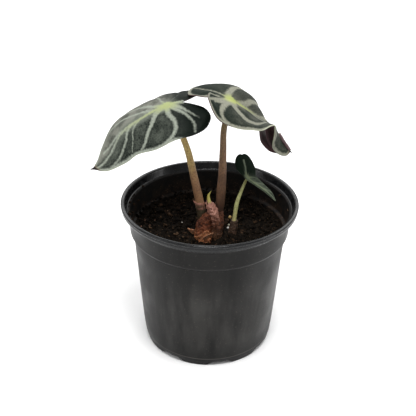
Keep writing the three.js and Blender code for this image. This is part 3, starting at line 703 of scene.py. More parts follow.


# %% [markdown]
# The upper skin is nearly black green velvet with silver-green bands, which turn lime yellow at the stalk
# point. A dark patch gets a painted velvet sheen that greys its middle and fades out towards the back lobe,
# so the back lobe is the darkest part; the far half gets a painted grazing sheen over its own skin. Below,
# the leaf is maroon with mauve veins. The rim is a thin line, cream along the blade and maroon at the lobes.


# %% Leaf finishes
class LeafFinish(Finish):
    """A finish that lies on the flat leaf, so that its pattern doesn't stretch where the blade bends."""

    def attribute(self, name):
        return add_node(self.tree, "Attribute", output="Fac", attribute_name=name)

    def find_place(self):
        self.along = self.attribute("along")
        self.out = self.attribute("out")
        return add_node(self.tree, "CombineXYZ", {"X": self.along * MM, "Y": self.out * MM})

    def cell_lines(self, size):
        """Thin lines between cells, 1 on the lines and 0 inside the cells."""
        warp = noise_value(self.place, 500 / size, 1.0, "Color")
        bent = add_node(self.tree, "VectorMath", {0: warp, 1: (0.0006 * size,) * 3}, operation="MULTIPLY")
        moved = add_node(self.tree, "VectorMath", {0: self.place, 1: bent}, operation="ADD")
        sockets = {"Vector": moved, "Scale": 1000 / size}
        cells = add_node(self.tree, "TexVoronoi", sockets, feature="DISTANCE_TO_EDGE")
        return cells.ramp(0.0, 0.14, 1.0, 0.0)

    def from_stalk_point(self):
        """Distance from the stalk point in metres, on a leaf squeezed along the midrib."""
        squeezed = add_node(self.tree, "VectorMath", {0: self.place, 1: (0.55, 1, 0)}, operation="MULTIPLY")
        return add_node(self.tree, "VectorMath", {0: squeezed}, "Value", operation="LENGTH")


def upper_finish(
    name, dark, patch_sheen, silver, far_skin_and_sheen, lime, lime_reach, tip, net=1.0, mist=0.6, palm_end=7.5, lime_end=48
):
    """Dark skin and pale bands.

    bloom is a painted velvet sheen that greys the middle of a patch, and far_skin_and_sheen is the far half's
    own skin with a painted grazing sheen on it. Mist is how pale the skin is beside the midrib. The pale palm
    round the stalk point ends at palm_end, on the near half. The yellow goes lime_reach round the stalk point
    and to lime_end along the midrib. The net number scales every pattern, for a small leaf.
    """
    paint = LeafFinish(name, roughness=0.55, Specular_IOR_Level=0.08)
    along = paint.along
    out = paint.out
    deep = darker(silver, 0.62)
    edge = paint.attribute("vein") + paint.blotches(1.6 * net) * (0.7 * net) - 0.35 * net
    small = paint.cell_lines(1.7 * net)
    clouds = paint.blotches(9 * net, 6.0)
    forward = along.ramp(-11 * net, 6 * net, 0.03, 1.0)

    # Painted velvet sheen: the middle of each patch greys towards the front of the blade, the back lobe stays
    # darkest.
    skin = paint.mix(edge.ramp(0.3 * net, 3.5 * net) * forward * clouds, dark, patch_sheen)
    # The far half's own skin with a painted grazing sheen, strongest where the clouds are pale.
    far = out.ramp(-3.5 * net, -0.5 * net, 1.0, 0.0) * forward * clouds.ramp(0.1, 0.9, 0.35, 0.95)
    skin = paint.mix(far, skin, far_skin_and_sheen)
    haze = out.math("ABSOLUTE").ramp(net, 6.5 * net, mist, 0.0) * forward
    skin = paint.mix(haze * along.ramp(20 * net, 55 * net, 1.0, 0.2), skin, deep)
    skin = paint.mix(small * forward * 0.12, skin, silver)
    reach = paint.from_stalk_point()
    palm = reach.ramp(2 * net * MM, palm_end * net * MM, 0.75, 0.0)
    skin = paint.mix(palm * out.ramp(-0.6 * net, 0.6 * net, 0.25, 1.0), skin, darker(silver, 0.8))

    glow = reach.ramp(0.1 * lime_reach * MM, lime_reach * MM, 0.8, 0.0)
    beside = out.ramp(0.8 * net, 3.2 * net, 1.0, 0.0) * out.ramp(-1.6 * net, -0.6 * net)
    midrib = beside * along.ramp(8.0, lime_end, 0.6, 0.0) * along.ramp(-5.0, -1.0)
    grey_green = paint.mix(paint.blotches(1.3 * net, 5.0) * 0.7, silver, deep)
    stripe = paint.mix(glow.math("MAXIMUM", midrib), grey_green, lime)
    colour = paint.mix(edge.ramp(-0.9 * net, 0.9 * net, 1.0, 0.0), skin, stripe)
    colour = paint.mix(along.ramp(tip - 5.0, tip - 3.4) * 0.4, colour, (0.16, 0.09, 0.03))
    colour = paint.mix(along.ramp(tip - 4.2, tip - 2.6), colour, (0.010, 0.007, 0.006))

    height = small * -0.6 + noise_value(paint.place, 3000.0 / net, 2.0) * 0.7
    return paint.done(colour, edge.ramp(-0.3, 1.5, 0.48, 0.6), paint.bump(height, 0.5, 0.12 * net))


def under_finish(name, dark, light):
    paint = LeafFinish(name, roughness=0.42, Specular_IOR_Level=0.3)
    lit = paint.attribute("vein").ramp(-0.6, 1.2, 0.75, 0.0)
    colour = paint.mix(lit.math("ADD", paint.blotches(4.0) * 0.35, clamp=True), dark, light)
    return paint.done(colour, normal=paint.bump(paint.cell_lines(1.5), 0.4, 0.1))


def rim_finish(name, cream, maroon):
    """Maroon at the lobes, cream along the blade and brown at the tip."""
    paint = LeafFinish(name)
    mottled = paint.along + paint.blotches(3.0) * 8
    colour = paint.mix(mottled.ramp(-6.0, 6.0), maroon, cream)
    return paint.done(paint.mix(paint.along.ramp(60.0, 63.0), colour, (0.020, 0.014, 0.010)))


# The second colour of each is the painted velvet sheen of a patch; the fourth is the far half's skin, with
# painted grazing sheen on the left leaf.
VELVET = upper_finish(
    "velvet upper skin", (0.0035, 0.0065, 0.0045), (0.054, 0.062, 0.050), (0.26, 0.285, 0.235),
    (0.150, 0.152, 0.128), (0.30, 0.34, 0.125), 8, 66,
)
VELVET_RIGHT = upper_finish(
    "velvet upper skin, right leaf", (0.0060, 0.0110, 0.0070), (0.056, 0.060, 0.046), (0.230, 0.232, 0.180),
    (0.026, 0.029, 0.023), (0.36, 0.41, 0.11), 6.5, 72, mist=0.25, palm_end=10, lime_end=27,
)
MAROON = under_finish("maroon underside", (0.022, 0.010, 0.010), (0.095, 0.050, 0.054))
RIM = rim_finish("leaf rim", (0.40, 0.42, 0.30), (0.045, 0.018, 0.018))
print("leaf finishes made")


# %% Left and right leaf
def left_band(along, out):
    """Half width of the pale margin: full on the near side, thin on the far side, none at the lobe."""
    blade = smooth_step(along, -12, 2)
    return np.where(out >= 0, 1.5, 0.7) * blade - 0.6 * (1 - blade)


def right_band(along, out):
    """The right leaf has a pale margin all round."""
    return np.where(out >= 0, 1.7, 2.2) + 0.3 * smooth_step(along, 40, 60)


RAYS = 320
RINGS = 110
build_leaf(
    "left_leaf", "left_blade", LEFT_LEAF, LEFT_VEINS, RAYS, RINGS, [VELVET, MAROON, RIM], 0.55, 0.7, left_band
)
build_leaf(
    "right_leaf", "right_blade", RIGHT_LEAF, RIGHT_VEINS, RAYS, RINGS, [VELVET_RIGHT, MAROON, RIM], 0.55, 0.7,
    right_band,
)

# %% [markdown]
# The young leaf is a smaller, fresher version: dark green back lobes that hood over the stalk, and a narrow
# rolled blade that runs down to a pale tip.

# %% Young leaf
# The second colour is a painted velvet sheen and the fourth the far half's skin with painted grazing sheen.
YOUNG_SKIN = upper_finish(
    "young upper skin", (0.004, 0.010, 0.005), (0.016, 0.026, 0.016), (0.15, 0.18, 0.125),
    (0.045, 0.055, 0.04), (0.16, 0.19, 0.10), 4, 36, 0.4, lime_end=26,
)
YOUNG_UNDER = under_finish("young underside", (0.045, 0.036, 0.025), (0.12, 0.10, 0.07))
YOUNG_RIM = rim_finish("young rim", (0.30, 0.34, 0.22), (0.008, 0.015, 0.009))


def young_band(along, out):
    return 0.25 * smooth_step(along, -4, 4) - 0.1


build_leaf(
    "young_leaf", "young_blade", YOUNG_LEAF, YOUNG_VEINS, 180, 36, [YOUNG_SKIN, YOUNG_UNDER, YOUNG_RIM], 0.3,
    0.6, young_band,
)

# %% [markdown]
# ## Stalks
# A leaf stalk is round, thinner towards the blade, and its skin is marked with fine dark flecks. It is a
# grid rolled into a tube round a curve through a few measured points, each with its radius. The last ring
# is fitted to the underside of the blade, where the stalk flares into the veins.

# %% Stalk tables
LEFT_STALK = [
    (-4.1, -5.2, 88.5, 2.9), (-5.1, -4.3, 97, 2.9), (-6.9, -3.1, 106.5, 2.9), (-11, -0.8, 125, 2.5),
    (-15.1, 1.5, 142.5, 2.2), (-19.5, 3.4, 154, 2.0), (-25.5, 5.2, 166, 1.9),
]
RIGHT_STALK = [
    (5.4, -2, 88.5, 2.5), (6.2, -0.6, 97, 2.7), (7.1, 0.6, 104, 3.1), (7.5, 1.7, 112, 3.1),
    (8, 2.9, 122, 2.8), (8.2, 5, 141.3, 2.3), (8.6, 6.2, 157, 2.0), (11.4, 7.4, 168.5, 1.9),
]
YOUNG_STALK = [
    (15.9, -5.3, 83, 1.5), (16.5, -4.8, 91, 1.5), (17.1, -3, 95.5, 1.4), (18.5, 0.8, 104, 1.35),
    (21.1, 6, 109.5, 1.1), (23.5, 9.4, 114.4, 0.9),
]


# %% Stalk builder
BLADE_GAP = 0.8  # from the blade's middle surface down to the stalk's end


def under_blade(leaf, along, out, step=0.6):
    """Places a small gap below the blade's middle surface."""
    span = on_blade(leaf, along + step, out) - on_blade(leaf, along - step, out)
    across = on_blade(leaf, along, out + step) - on_blade(leaf, along, out - step)
    down = unit(np.cross(span, across))
    down *= np.where(down @ np.array(leaf["faces"], float) > 0, -1, 1)[:, None]
    return on_blade(leaf, along, out) + down * BLADE_GAP


def stalk_rule(stations, leaf, flare):
    """A rule for a faintly ribbed tube through its stations up to the leaf's stalk point."""
    rows = np.vstack([[s[:3] for s in stations], on_blade(leaf, 0, 0)])
    lengths = lengths_along(rows)
    radii = [[s[3]] for s in (*stations, stations[-1])]
    along_axis = unit(on_blade(leaf, 1, 0)[0] - on_blade(leaf, -1, 0)[0])
    out_axis = unit(on_blade(leaf, 0, 1)[0] - on_blade(leaf, 0, -1)[0])

    def rule(turn, reach):
        travelled = reach * lengths[-1] * 0.985
        middle = smooth_table(travelled, lengths, rows)
        ahead = smooth_table(travelled + 0.2, lengths, rows)
        axis = unit(ahead - smooth_table(travelled - 0.2, lengths, rows))
        side = unit(np.cross(axis, (0, -1, 0)))
        front = np.cross(axis, side)
        radius = smooth_table(travelled, lengths, radii)[:, 0] * (1 + flare * smooth_step(reach, 0.93, 1))
        ribs = 0.03 * np.sin(turn * 9 + 1.3 * np.sin(travelled / 14)) + 0.05 * np.sin(turn + travelled / 31)
        radius = (radius + ribs)[:, None]
        tube = middle + side * radius * np.cos(turn)[:, None] + front * radius * np.sin(turn)[:, None]
        last = reach > 0.9999
        offset = tube[last] - middle[last]
        tube[last] = under_blade(leaf, offset @ along_axis, offset @ out_axis)
        return tube

    return rule


def stalk_finish(name, low, middle, high, bottom_z, top_z, fleck, fleck_size=0.7):
    """Skin that changes from foot to top, with fine lengthwise streaks and dark flecks."""
    paint = Finish(name, Specular_IOR_Level=0.25)
    height = paint.height() + paint.blotches(9.0) * 0.012
    bottom = bottom_z * MM
    span = (top_z - bottom_z) * MM
    colour = paint.mix(height.ramp(bottom, bottom + 0.55 * span), low, middle)
    colour = paint.mix(height.ramp(bottom + 0.45 * span, top_z * MM), colour, high)
    streak = paint.fibres(0.5, 7.0)
    colour = paint.mix(streak * 0.25, colour, darker(middle, 0.55))
    dots = paint.speckles(fleck_size, 0.42)
    colour = paint.mix(dots * 0.7, colour, fleck)
    return paint.done(colour, streak.ramp(0.0, 1.0, 0.38, 0.52), paint.bump(streak + dots * 0.4, 0.5, 0.10))


def streaked_finish(name, below, above, change, fibre, relief, roughness, gloss, wobble=0.0):
    """Two pairs of colours in fine fibres: one pair below a change in height, in metres, and one above it."""
    paint = Finish(name, roughness, Specular_IOR_Level=gloss)
    height = paint.height()
    if wobble:
        height = height + paint.blotches(4.0) * wobble
    streak = paint.fibres(*fibre)
    colour = paint.mix(height.ramp(*change), paint.mix(streak, *below), paint.mix(streak, *above))
    return paint.done(colour, normal=paint.bump(streak, *relief))


# %% [markdown]
# The left stalk still wears the torn end of its old sheath: a slightly thicker collar with one dry point,
# and a pink scar where it tore. Both are lofts through upright ellipses, joined into the same piece.


# %% Lofts through upright ellipses
def ellipse_at(sections, z):
    """The middle and the two radii of a loft's ellipse at each height."""
    return smooth_table(z, [s[2] for s in sections], [(s[0], s[1], s[3], s[4]) for s in sections]).T


def loft_rule(sections, ribs=0, depth=0.0, rough=0.0, size=3.0, seed=0.0):
    """A rule for a body through ellipses (x, y, z, rx, ry), with a few soft ribs and seeded roughness."""
    bottom = sections[0][2]
    top = sections[-1][2]

    def rule(turn, reach):
        z = bottom + reach * (top - bottom)
        x, y, rx, ry = ellipse_at(sections, z)
        swell = 1 + depth * np.cos(ribs * turn + 0.35 * z)
        spots = np.stack([x + rx * swell * np.cos(turn), y + ry * swell * np.sin(turn), z], -1)
        if rough:
            outward = np.stack([np.cos(turn), np.sin(turn), np.zeros_like(z)], -1)
            relief = rumple(spots, size, seed) - 0.5 * np.abs(rumple(spots, 0.4 * size, seed + 1))
            spots = spots + outward * (rough * relief)[:, None]
        return spots

    return rule


# %% Left and right stalks
LEFT_SKIN = stalk_finish(
    "left stalk skin", (0.13, 0.060, 0.030), (0.24, 0.128, 0.062), (0.58, 0.43, 0.14), 92, 160,
    (0.09, 0.045, 0.03),
)
RIGHT_SKIN = stalk_finish(
    "right stalk skin", (0.032, 0.015, 0.011), (0.23, 0.122, 0.066), (0.17, 0.132, 0.050), 104, 172,
    (0.05, 0.03, 0.02),
)
OLD_SHEATH = streaked_finish(
    "old sheath skin", [(0.024, 0.019, 0.010), (0.062, 0.044, 0.024)],
    [(0.18, 0.075, 0.055), (0.36, 0.17, 0.12)],
    (0.1035, 0.1085), (0.5, 5.0), (0.9, 0.25), 0.6, 0.15, wobble=0.004,
)
COLLAR = [
    (-4.7, -4.7, 93, 3.1, 3.1), (-5.3, -4.2, 98, 3.2, 3.2), (-6.5, -3.4, 104, 3.3, 3.3),
    (-7, -3, 107, 3.1, 3.1),
]
DRY_POINT = [(-8.5, -3.6, 104.8, 1.1, 1.3), (-10, -3.8, 106.8, 0.6, 0.8), (-11.1, -3.9, 107.8, 0.15, 0.15)]
left_tube = rolled(stalk_rule(LEFT_STALK, LEFT_LEAF, 0.25), 48, 150)
collar = set_material(rolled(loft_rule(COLLAR, 5, 0.02, 0.16, 1.8, 3), 48, 40), 1)
dry_point = set_material(rolled(loft_rule(DRY_POINT, 3, 0.1, 0.08, 1.0, 5), 20, 14), 1)
left_parts = join_meshes(left_tube, collar, dry_point)
to_piece("left_stalk", left_parts, [LEFT_SKIN, OLD_SHEATH], "stalk", "left_petiole")
right_tube = rolled(stalk_rule(RIGHT_STALK, RIGHT_LEAF, 0.25), 48, 150)
to_piece("right_stalk", right_tube, [RIGHT_SKIN], "stalk", "right_petiole")

# %% Young stalk
YOUNG_STALK_SKIN = stalk_finish(
    "young stalk skin", (0.12, 0.085, 0.045), (0.38, 0.33, 0.14), (0.36, 0.37, 0.15), 91, 110,
    (0.13, 0.11, 0.05), 0.5,
)
young_tube = rolled(stalk_rule(YOUNG_STALK, YOUNG_LEAF, 0.1), 36, 80)
to_piece("young_stalk", young_tube, [YOUNG_STALK_SKIN], "young_stalk", "young_petiole")

# %% [markdown]
# ## Stem base
# The swollen base is two humps wrapped in dry papery skin, brown and maroon, with ring scars and torn
# fibres. The side shoot has its own small base. Each is a loft with ribs and crumpled relief. The sheath
# and the new shoot between the stalks are lofts too.

# %% Stem base tables
LEFT_HUMP = [
    (-2.5, -7.5, 68, 3.2, 4), (-3.2, -8.2, 75, 5.6, 7.5), (-3.8, -8.6, 84, 6.4, 9.2),
    (-3.9, -8.5, 89, 5.2, 7.7), (-3.8, -8.3, 93, 4.9, 6.1), (-2.9, -8.3, 97, 3.6, 4.4),
    (-2, -8.3, 100, 1.8, 2.4),
]
RIGHT_HUMP = [
    (3.5, -6.5, 68, 3, 4), (4.6, -6.4, 75, 4.4, 7.5), (5, -6.2, 84, 4.3, 8.8),
    (5.3, -5, 90, 4.1, 7.4), (5.7, -3.4, 95, 3.9, 5.8), (6.1, -1.4, 98.8, 3.7, 4.2),
]
OFFSET_BASE = [
    (15.4, -5.6, 72, 2.2, 2.2), (15.6, -5.5, 79, 3.5, 3.7), (15.9, -5.4, 85, 3.2, 3.4),
    (16.6, -5, 89.5, 2.7, 2.8), (16.9, -4, 93.2, 2.35, 2.4),
]
SLEEVE = [
    (3.9, -7, 92, 2.4, 2.7), (3.7, -6.7, 95.5, 2.7, 2.9), (2.6, -5.7, 99.5, 2.9, 3.1),
    (0.9, -4.3, 103.5, 2.7, 2.9), (-0.3, -3, 107, 2.2, 2.5),
]
SHOOT = [
    (3.9, -7, 92.5, 1.2, 1.4), (2.9, -6, 98.5, 1.4, 1.6), (0.9, -4.3, 103.5, 1.35, 1.5),
    (-0.4, -2.8, 107, 1.2, 1.25), (-0.8, -1.3, 110.6, 0.8, 0.8), (0.8, -0.3, 113.4, 0.15, 0.15),
]


# %% Papery skin
def papery_finish(name, deep, mid, pale, ring=2.4, scarring=0.5, top=(1, 1, 1)):
    """Dry skin with fibres, blotches and darker ring scars. Top is a tint for the part above the curls."""
    paint = Finish(name, roughness=0.42, Specular_IOR_Level=0.2)
    strand = paint.fibres(0.45, 5.0)
    height = paint.height()
    rings = (height + paint.blotches(6.0) * 0.0035).math("PINGPONG", ring * MM)
    scar = rings.ramp(0.0, 0.00045, 1.0, 0.0)
    colour = paint.mix(paint.blotches(3.5, 4.0), deep, mid)
    colour = paint.mix(strand * 0.5, colour, pale)
    colour = paint.mix(scar * scarring, colour, darker(deep, 0.4))
    tinted = paint.mix(1.0, colour, top, "MULTIPLY")
    colour = paint.mix(height.ramp(0.086, 0.093), colour, tinted)
    return paint.done(colour, normal=paint.bump(strand - scar * (1.6 * scarring), 1.0, 0.4))


LEFT_BASE_SKIN = papery_finish(
    "left hump skin", (0.035, 0.009, 0.004), (0.19, 0.055, 0.020), (0.44, 0.160, 0.065), scarring=0.7,
    top=(0.60, 0.55, 0.62),
)
RIGHT_BASE_SKIN = papery_finish(
    "right hump skin", (0.012, 0.006, 0.003), (0.050, 0.022, 0.010), (0.17, 0.08, 0.04), scarring=0.6,
    top=(1.5, 1.2, 1.3),
)
OFFSET_SKIN = papery_finish(
    "side shoot base skin", (0.014, 0.009, 0.006), (0.052, 0.030, 0.018), (0.16, 0.09, 0.06), 1.9
)
left_hump = rolled(loft_rule(LEFT_HUMP, 5, 0.06, 0.75, 2.6, 11), 110, 110)
right_hump = set_material(rolled(loft_rule(RIGHT_HUMP, 5, 0.06, 0.65, 2.4, 12), 110, 110), 1)
humps = join_meshes(left_hump, right_hump)
to_piece("stem_base", humps, [LEFT_BASE_SKIN, RIGHT_BASE_SKIN], "corm_skin", "corm")
side_base = rolled(loft_rule(OFFSET_BASE, 4, 0.06, 0.35, 1.8, 13), 60, 60)
to_piece("side_shoot_base", side_base, [OFFSET_SKIN], "corm_skin", "offset_corm")

# %% [markdown]
# Dry scales peel off the left hump in two places. On its left is a narrow curled tongue that tapers to a
# pale tip. Across its front are three curled patches, one above the other, which lean away from the hump
# towards ragged edges, and one bright tongue lies over them. Each is a sheet that a modifier thickens.

# %% Dry scales
TONGUE = [
    (-10.5, -10.3, 86.9, 2.4), (-12.1, -10, 87.5, 1.8), (-13.5, -9.6, 88.3, 1.0), (-14.6, -9.1, 89.2, 0.25),
]
CURL = [(-4, -18.9, 87.4, 1.5), (-1.4, -19.8, 89.2, 1.9), (0.9, -19.6, 90.6, 1.6), (2.7, -18.6, 91.6, 0.4)]
PATCHES = [  # start and end angle, lower and upper height, curl, gap from the hump, seed
    (222, 312, 85, 92.5, 1.5, 1.25, 22),
    (238, 296, 82.5, 88.2, 1.1, 0.9, 26),
    (262, 308, 80.5, 85.4, 0.9, 1.0, 28),
]


def tongue_sheet(rows):
    """A curled tongue through cross lines (x, y, z, half height) that shrink towards the tip."""
    sheet = unit_sheet(60, 16)
    u, v, _ = read_points(sheet).T
    x, y, z, half = smooth_table(u, [0, 0.4, 0.75, 1], rows).T
    out = half * (2 * v - 1) * (1 - 0.12 * np.abs(np.sin(23 * u)))
    crumple = 0.16 * rumple(np.column_stack([u * 5, v * 2, u * 0]), 1.0, 21)
    write_points(sheet, np.stack([x + 0.15 * out, y - 0.3 * out + crumple, z + out], -1))
    return sheet


def scale_sheet(start, end, low, high, curl, out, seed):
    """A patch that follows the left hump between two angles in degrees and peels off towards its top."""
    sheet = unit_sheet(90, 40)
    u, v, _ = read_points(sheet).T
    arch = 1 - (2 * u * u - 1) ** 2
    ragged = 1 - 0.14 * np.abs(rumple(np.column_stack([u * 9, u * 0, u * 0]), 1.0, seed)) * v
    z = low + (high - low) * v * (0.3 + 0.7 * arch) * ragged
    x, y, rx, ry = ellipse_at(LEFT_HUMP, z)
    turn = np.radians(start + (end - start) * u)
    crumple = 0.3 * rumple(np.column_stack([u * 12, v * 5, u * 0]), 1.6, seed + 1)
    off = out + curl * v * v + crumple * smooth_step(v, 0, 0.4)
    write_points(sheet, np.stack([x + (rx + off) * np.cos(turn), y + (ry + off) * np.sin(turn), z], -1))
    return sheet


ORANGE_SCALE = papery_finish(
    "orange dry scale", (0.34, 0.11, 0.040), (0.56, 0.23, 0.095), (0.80, 0.52, 0.36), 1.3
)
FRONT_SCALE = papery_finish(
    "curled front scale", (0.13, 0.030, 0.009), (0.46, 0.155, 0.055), (0.85, 0.42, 0.22), 2.2, 0.9
)
curls = join_meshes(*[scale_sheet(*patch) for patch in PATCHES], set_material(tongue_sheet(CURL), 1))
for flap in (
    to_piece("left_scale", tongue_sheet(TONGUE), [ORANGE_SCALE], "dry_scale", "flap_left"),
    to_piece("front_scale", curls, [FRONT_SCALE, ORANGE_SCALE], "dry_scale", "flap_front"),
):
    give_thickness(flap, 0.5, offset=0)

# %% [markdown]
# Between the two stalks stands a thin pink sheath, crumpled like wet paper that has dried, with the
# yellow-green point of the next leaf coming out of it.


# %% Pink sheath and new shoot
def sleeve_rule(turn, reach):
    """The sheath's loft, whose upper part is cut down to a torn edge."""
    torn = 0.07 * (1 + np.sin(2 * turn + 0.6) + 0.5 * np.sin(5 * turn + 1))
    kept = np.where(reach > 0.6, 1 - torn * (reach - 0.6) / 0.4, 1)
    return loft_rule(SLEEVE, 3, 0.08, 0.7, 1.7, 31)(turn, reach * kept)


PINK = streaked_finish(
    "pink papery sheath", [(0.10, 0.038, 0.022), (0.22, 0.095, 0.058)],
    [(0.22, 0.085, 0.062), (0.44, 0.22, 0.16)],
    (0.094, 0.1035), (0.5, 4.0), (0.7, 0.2), 0.42, 0.4,
)
SHOOT_SKIN = streaked_finish(
    "new shoot skin", [(0.42, 0.31, 0.18), (0.33, 0.22, 0.12)], [(0.40, 0.33, 0.08), (0.28, 0.25, 0.06)],
    (0.103, 0.109), (0.4, 6.0), (0.3, 0.08), 0.45, 0.3,
)
sleeve = rolled(sleeve_rule, 72, 60, caps=False)
give_thickness(to_piece("crumpled_sheath", sleeve, [PINK], "pink_sheath", "pink_sheath"), 0.6)
to_piece("new_leaf_point", rolled(loft_rule(SHOOT, 2, 0.03), 36, 60), [SHOOT_SKIN], "shoot", "new_shoot")

# %% [markdown]
# ## Pot
# The pot is one thin moulding, so its whole section is drawn once, outside and inside in one line, and spun
# round the axis. Each point is a radius, a height and a corner radius, because moulded plastic has no sharp
# corners and the rounded lip is what catches the light. The foot's notches are made by lifting the foot's
# edge, which is how the mould forms them too.

# %% Pot section
SECTION = [
    (0, 5, 0), (43, 5, 0.3), (43, 0, 0.3), (44.7, 0, 0.4), (45.9, 5.6, 0.6), (46.8, 14, 2), (52, 84, 0.5),
    (53.5, 84.8, 0.5), (54.2, 86.2, 0.5), (55.2, 99.4, 0.8), (57, 100.6, 0.6), (57.2, 102.6, 0.3),
    (57.9, 102.8, 0.2), (59.5, 102.8, 0.5), (59.8, 104.4, 0.5), (59.62, 105.0, 0.3), (60, 105.5, 0.4),
    (60, 106.6, 0.7), (59, 107, 0.7), (57.8, 106.9, 0.5), (57.2, 106.1, 0.5), (56, 101.7, 0.5),
    (54.1, 101.0, 0.4), (53.2, 86.6, 0.5), (51, 85.6, 0.5), (45.8, 14, 2), (44.8, 6, 0.5), (0, 6, 0),
]


def round_corners(rows, pieces=4):
    """Each inner corner of an open line replaced by a small curve that stays on its inner side."""
    rounded = [rows[0][:2]]
    for before, here, after in zip(rows, rows[1:], rows[2:]):
        corner = np.array(here[:2], float)
        back = np.array(before[:2], float) - corner
        ahead = np.array(after[:2], float) - corner
        reach = min(here[2], 0.45 * np.linalg.norm(back), 0.45 * np.linalg.norm(ahead))
        start = corner + back / np.linalg.norm(back) * reach
        end = corner + ahead / np.linalg.norm(ahead) * reach
        for k in range(pieces + 1):
            t = k / pieces
            rounded.append(tuple((1 - t) ** 2 * start + 2 * t * (1 - t) * corner + t * t * end))
    rounded.append(rows[-1][:2])
    return rounded


print("section points", len(round_corners(SECTION)))

# %% Spin the pot
POT_STEPS = 320
NOTCHES = 8
NOTCH_HEIGHT = 3
NOTCH_TOP = 10
NOTCH_BOTTOM = 19
FIRST_NOTCH = 11.5  # degrees from the front
FOOT_RADIUS = 44.7
SKIRT_SLOPE = 0.214
SKIRT_INNER = 42  # radius inside which nothing is lifted
SKIRT_MIDDLE = 43.8
SKIRT_TOP = 2.5


def spin_pot():
    pot = bmesh.new()
    line = [pot.verts.new((r, 0, z)) for r, z in round_corners(SECTION)]
    for a, b in zip(line, line[1:]):
        pot.edges.new((a, b))
    bmesh.ops.spin(
        pot, geom=[*pot.verts, *pot.edges], cent=(0, 0, 0), axis=(0, 0, 1), angle=2 * math.pi,
        steps=POT_STEPS, use_merge=True, use_duplicate=False,
    )
    bmesh.ops.remove_doubles(pot, verts=pot.verts, dist=1e-3)
    bmesh.ops.recalc_face_normals(pot, faces=pot.faces)
    return pot


def cut_notches(pot):
    """Lifts the foot's edge into eight trapezoid notches. The outer face keeps the skirt's slope."""
    for v in pot.verts:
        radius = math.hypot(v.co.x, v.co.y)
        if v.co.z > SKIRT_TOP or radius < SKIRT_INNER:
            continue
        bearing = math.degrees(math.atan2(v.co.x, -v.co.y)) - FIRST_NOTCH
        off = abs((bearing + 180 / NOTCHES) % (360 / NOTCHES) - 180 / NOTCHES)
        across = math.radians(off) * FOOT_RADIUS
        slope = (NOTCH_BOTTOM / 2 - across) / (NOTCH_BOTTOM / 2 - NOTCH_TOP / 2)
        lift = NOTCH_HEIGHT * min(1.0, max(0.0, slope)) * (1 - v.co.z / 3.5)
        grow = 1 + (SKIRT_SLOPE * lift / radius if radius > SKIRT_MIDDLE else 0)
        v.co = (v.co.x * grow, v.co.y * grow, v.co.z + lift)


pot_mesh = spin_pot()
cut_notches(pot_mesh)
print("pot faces", len(pot_mesh.faces))


# %% [markdown]
# The floor of the pot has one drain hole in its middle and eight round it. They are cut with a Boolean
# modifier, which is applied straight away so that the piece stays one plain mesh.

# %% Drain holes
DRAIN_RADIUS = 3.6
DRAIN_CIRCLE = 33
FLOOR_Z = 5.5


def drain_cutters():
    cutters = bmesh.new()
    turns = [math.radians(FIRST_NOTCH + 360 / NOTCHES * i) for i in range(NOTCHES)]
    spots = [(0.0, 0.0)] + [(DRAIN_CIRCLE * math.sin(turn), -DRAIN_CIRCLE * math.cos(turn)) for turn in turns]
    for x, y in spots:
        made = bmesh.ops.create_cone(
            cutters, cap_ends=True, segments=32, radius1=DRAIN_RADIUS, radius2=DRAIN_RADIUS, depth=4
        )
        bmesh.ops.translate(cutters, verts=made["verts"], vec=(x, y, FLOOR_Z))
    write_points(cutters, to_metres(read_points(cutters)))
    return add_object("drain_cutters", to_data("drain cutters", cutters))


def cut_away(piece, cutter):
    modifier = piece.modifiers.new("cut", "BOOLEAN")
    modifier.object = cutter
    modifier.solver = "EXACT"
    made = bpy.data.meshes.new_from_object(piece.evaluated_get(bpy.context.evaluated_depsgraph_get()))
    piece.modifiers.clear()
    piece.data = made
    bpy.data.objects.remove(cutter)


# %% [markdown]
# Black pot plastic is a satin dark grey. Its lip is glossier, and the body has broad soft painted highlight
# streaks, fine scuffs and a little dust. Inside it is blacker, with a brown film of dried peat near the soil.


# %% Pot plastic
def plastic_finish():
    """The body: painted highlight streaks, strongest on the lower body and faint on the wide band, painted
    shade on the foot and a fine painted highlight line on the bead above the foot.
    """
    paint = Finish("black pot plastic", roughness=0.42, Specular_IOR_Level=0.13)
    height = paint.height()
    cloud = paint.blotches(22.0, 4.0)
    # Painted highlight streaks: broad pale vertical streaks on the lower body, fading out up the wide band
    # and near the foot.
    painted_highlight_streaks = paint.fibres(15.0, 90.0) * height.ramp(0.052, 0.080, 1.0, 0.25)
    painted_highlight_streaks = painted_highlight_streaks * height.ramp(0.004, 0.022, 0.2, 1.0)
    body = paint.mix(painted_highlight_streaks, (0.0036, 0.0034, 0.0032), (0.038, 0.0365, 0.034))
    body = paint.mix(cloud * 0.4, body, (0.012, 0.0115, 0.011))
    # Painted highlight: a fine pale line along the bead above the foot.
    line = height.ramp(0.0056, 0.0060) * height.ramp(0.0060, 0.0068, 1.0, 0.0)
    body = paint.mix(line * 0.5, body, (0.11, 0.10, 0.09))
    # Painted shade: darker below the bead, on the foot.
    body = paint.mix(height.ramp(0.0050, 0.0057, 0.8, 0.0), body, (0.005, 0.005, 0.005))
    body = paint.mix(paint.speckles(1.1, 0.12) * 0.2, body, (0.12, 0.10, 0.08))
    relief = noise_value(paint.place, 900.0, 3.0) + paint.fibres(1.4, 0.25) * 0.35
    return paint.done(body, cloud.ramp(0.0, 1.0, 0.36, 0.48), paint.bump(relief, 0.25, 0.08))


def lip_finish():
    """The rolled lip: glossy black with a few scuffs."""
    paint = Finish("black pot plastic, lip", roughness=0.2, Specular_IOR_Level=0.28)
    colour = paint.mix(paint.speckles(0.8, 0.12) * 0.3, (0.005, 0.0055, 0.006), (0.07, 0.07, 0.07))
    rough = paint.blotches(5.0).ramp(0.0, 1.0, 0.15, 0.3)
    return paint.done(colour, rough, paint.bump(noise_value(paint.place, 700.0, 2.0), 0.1, 0.03))


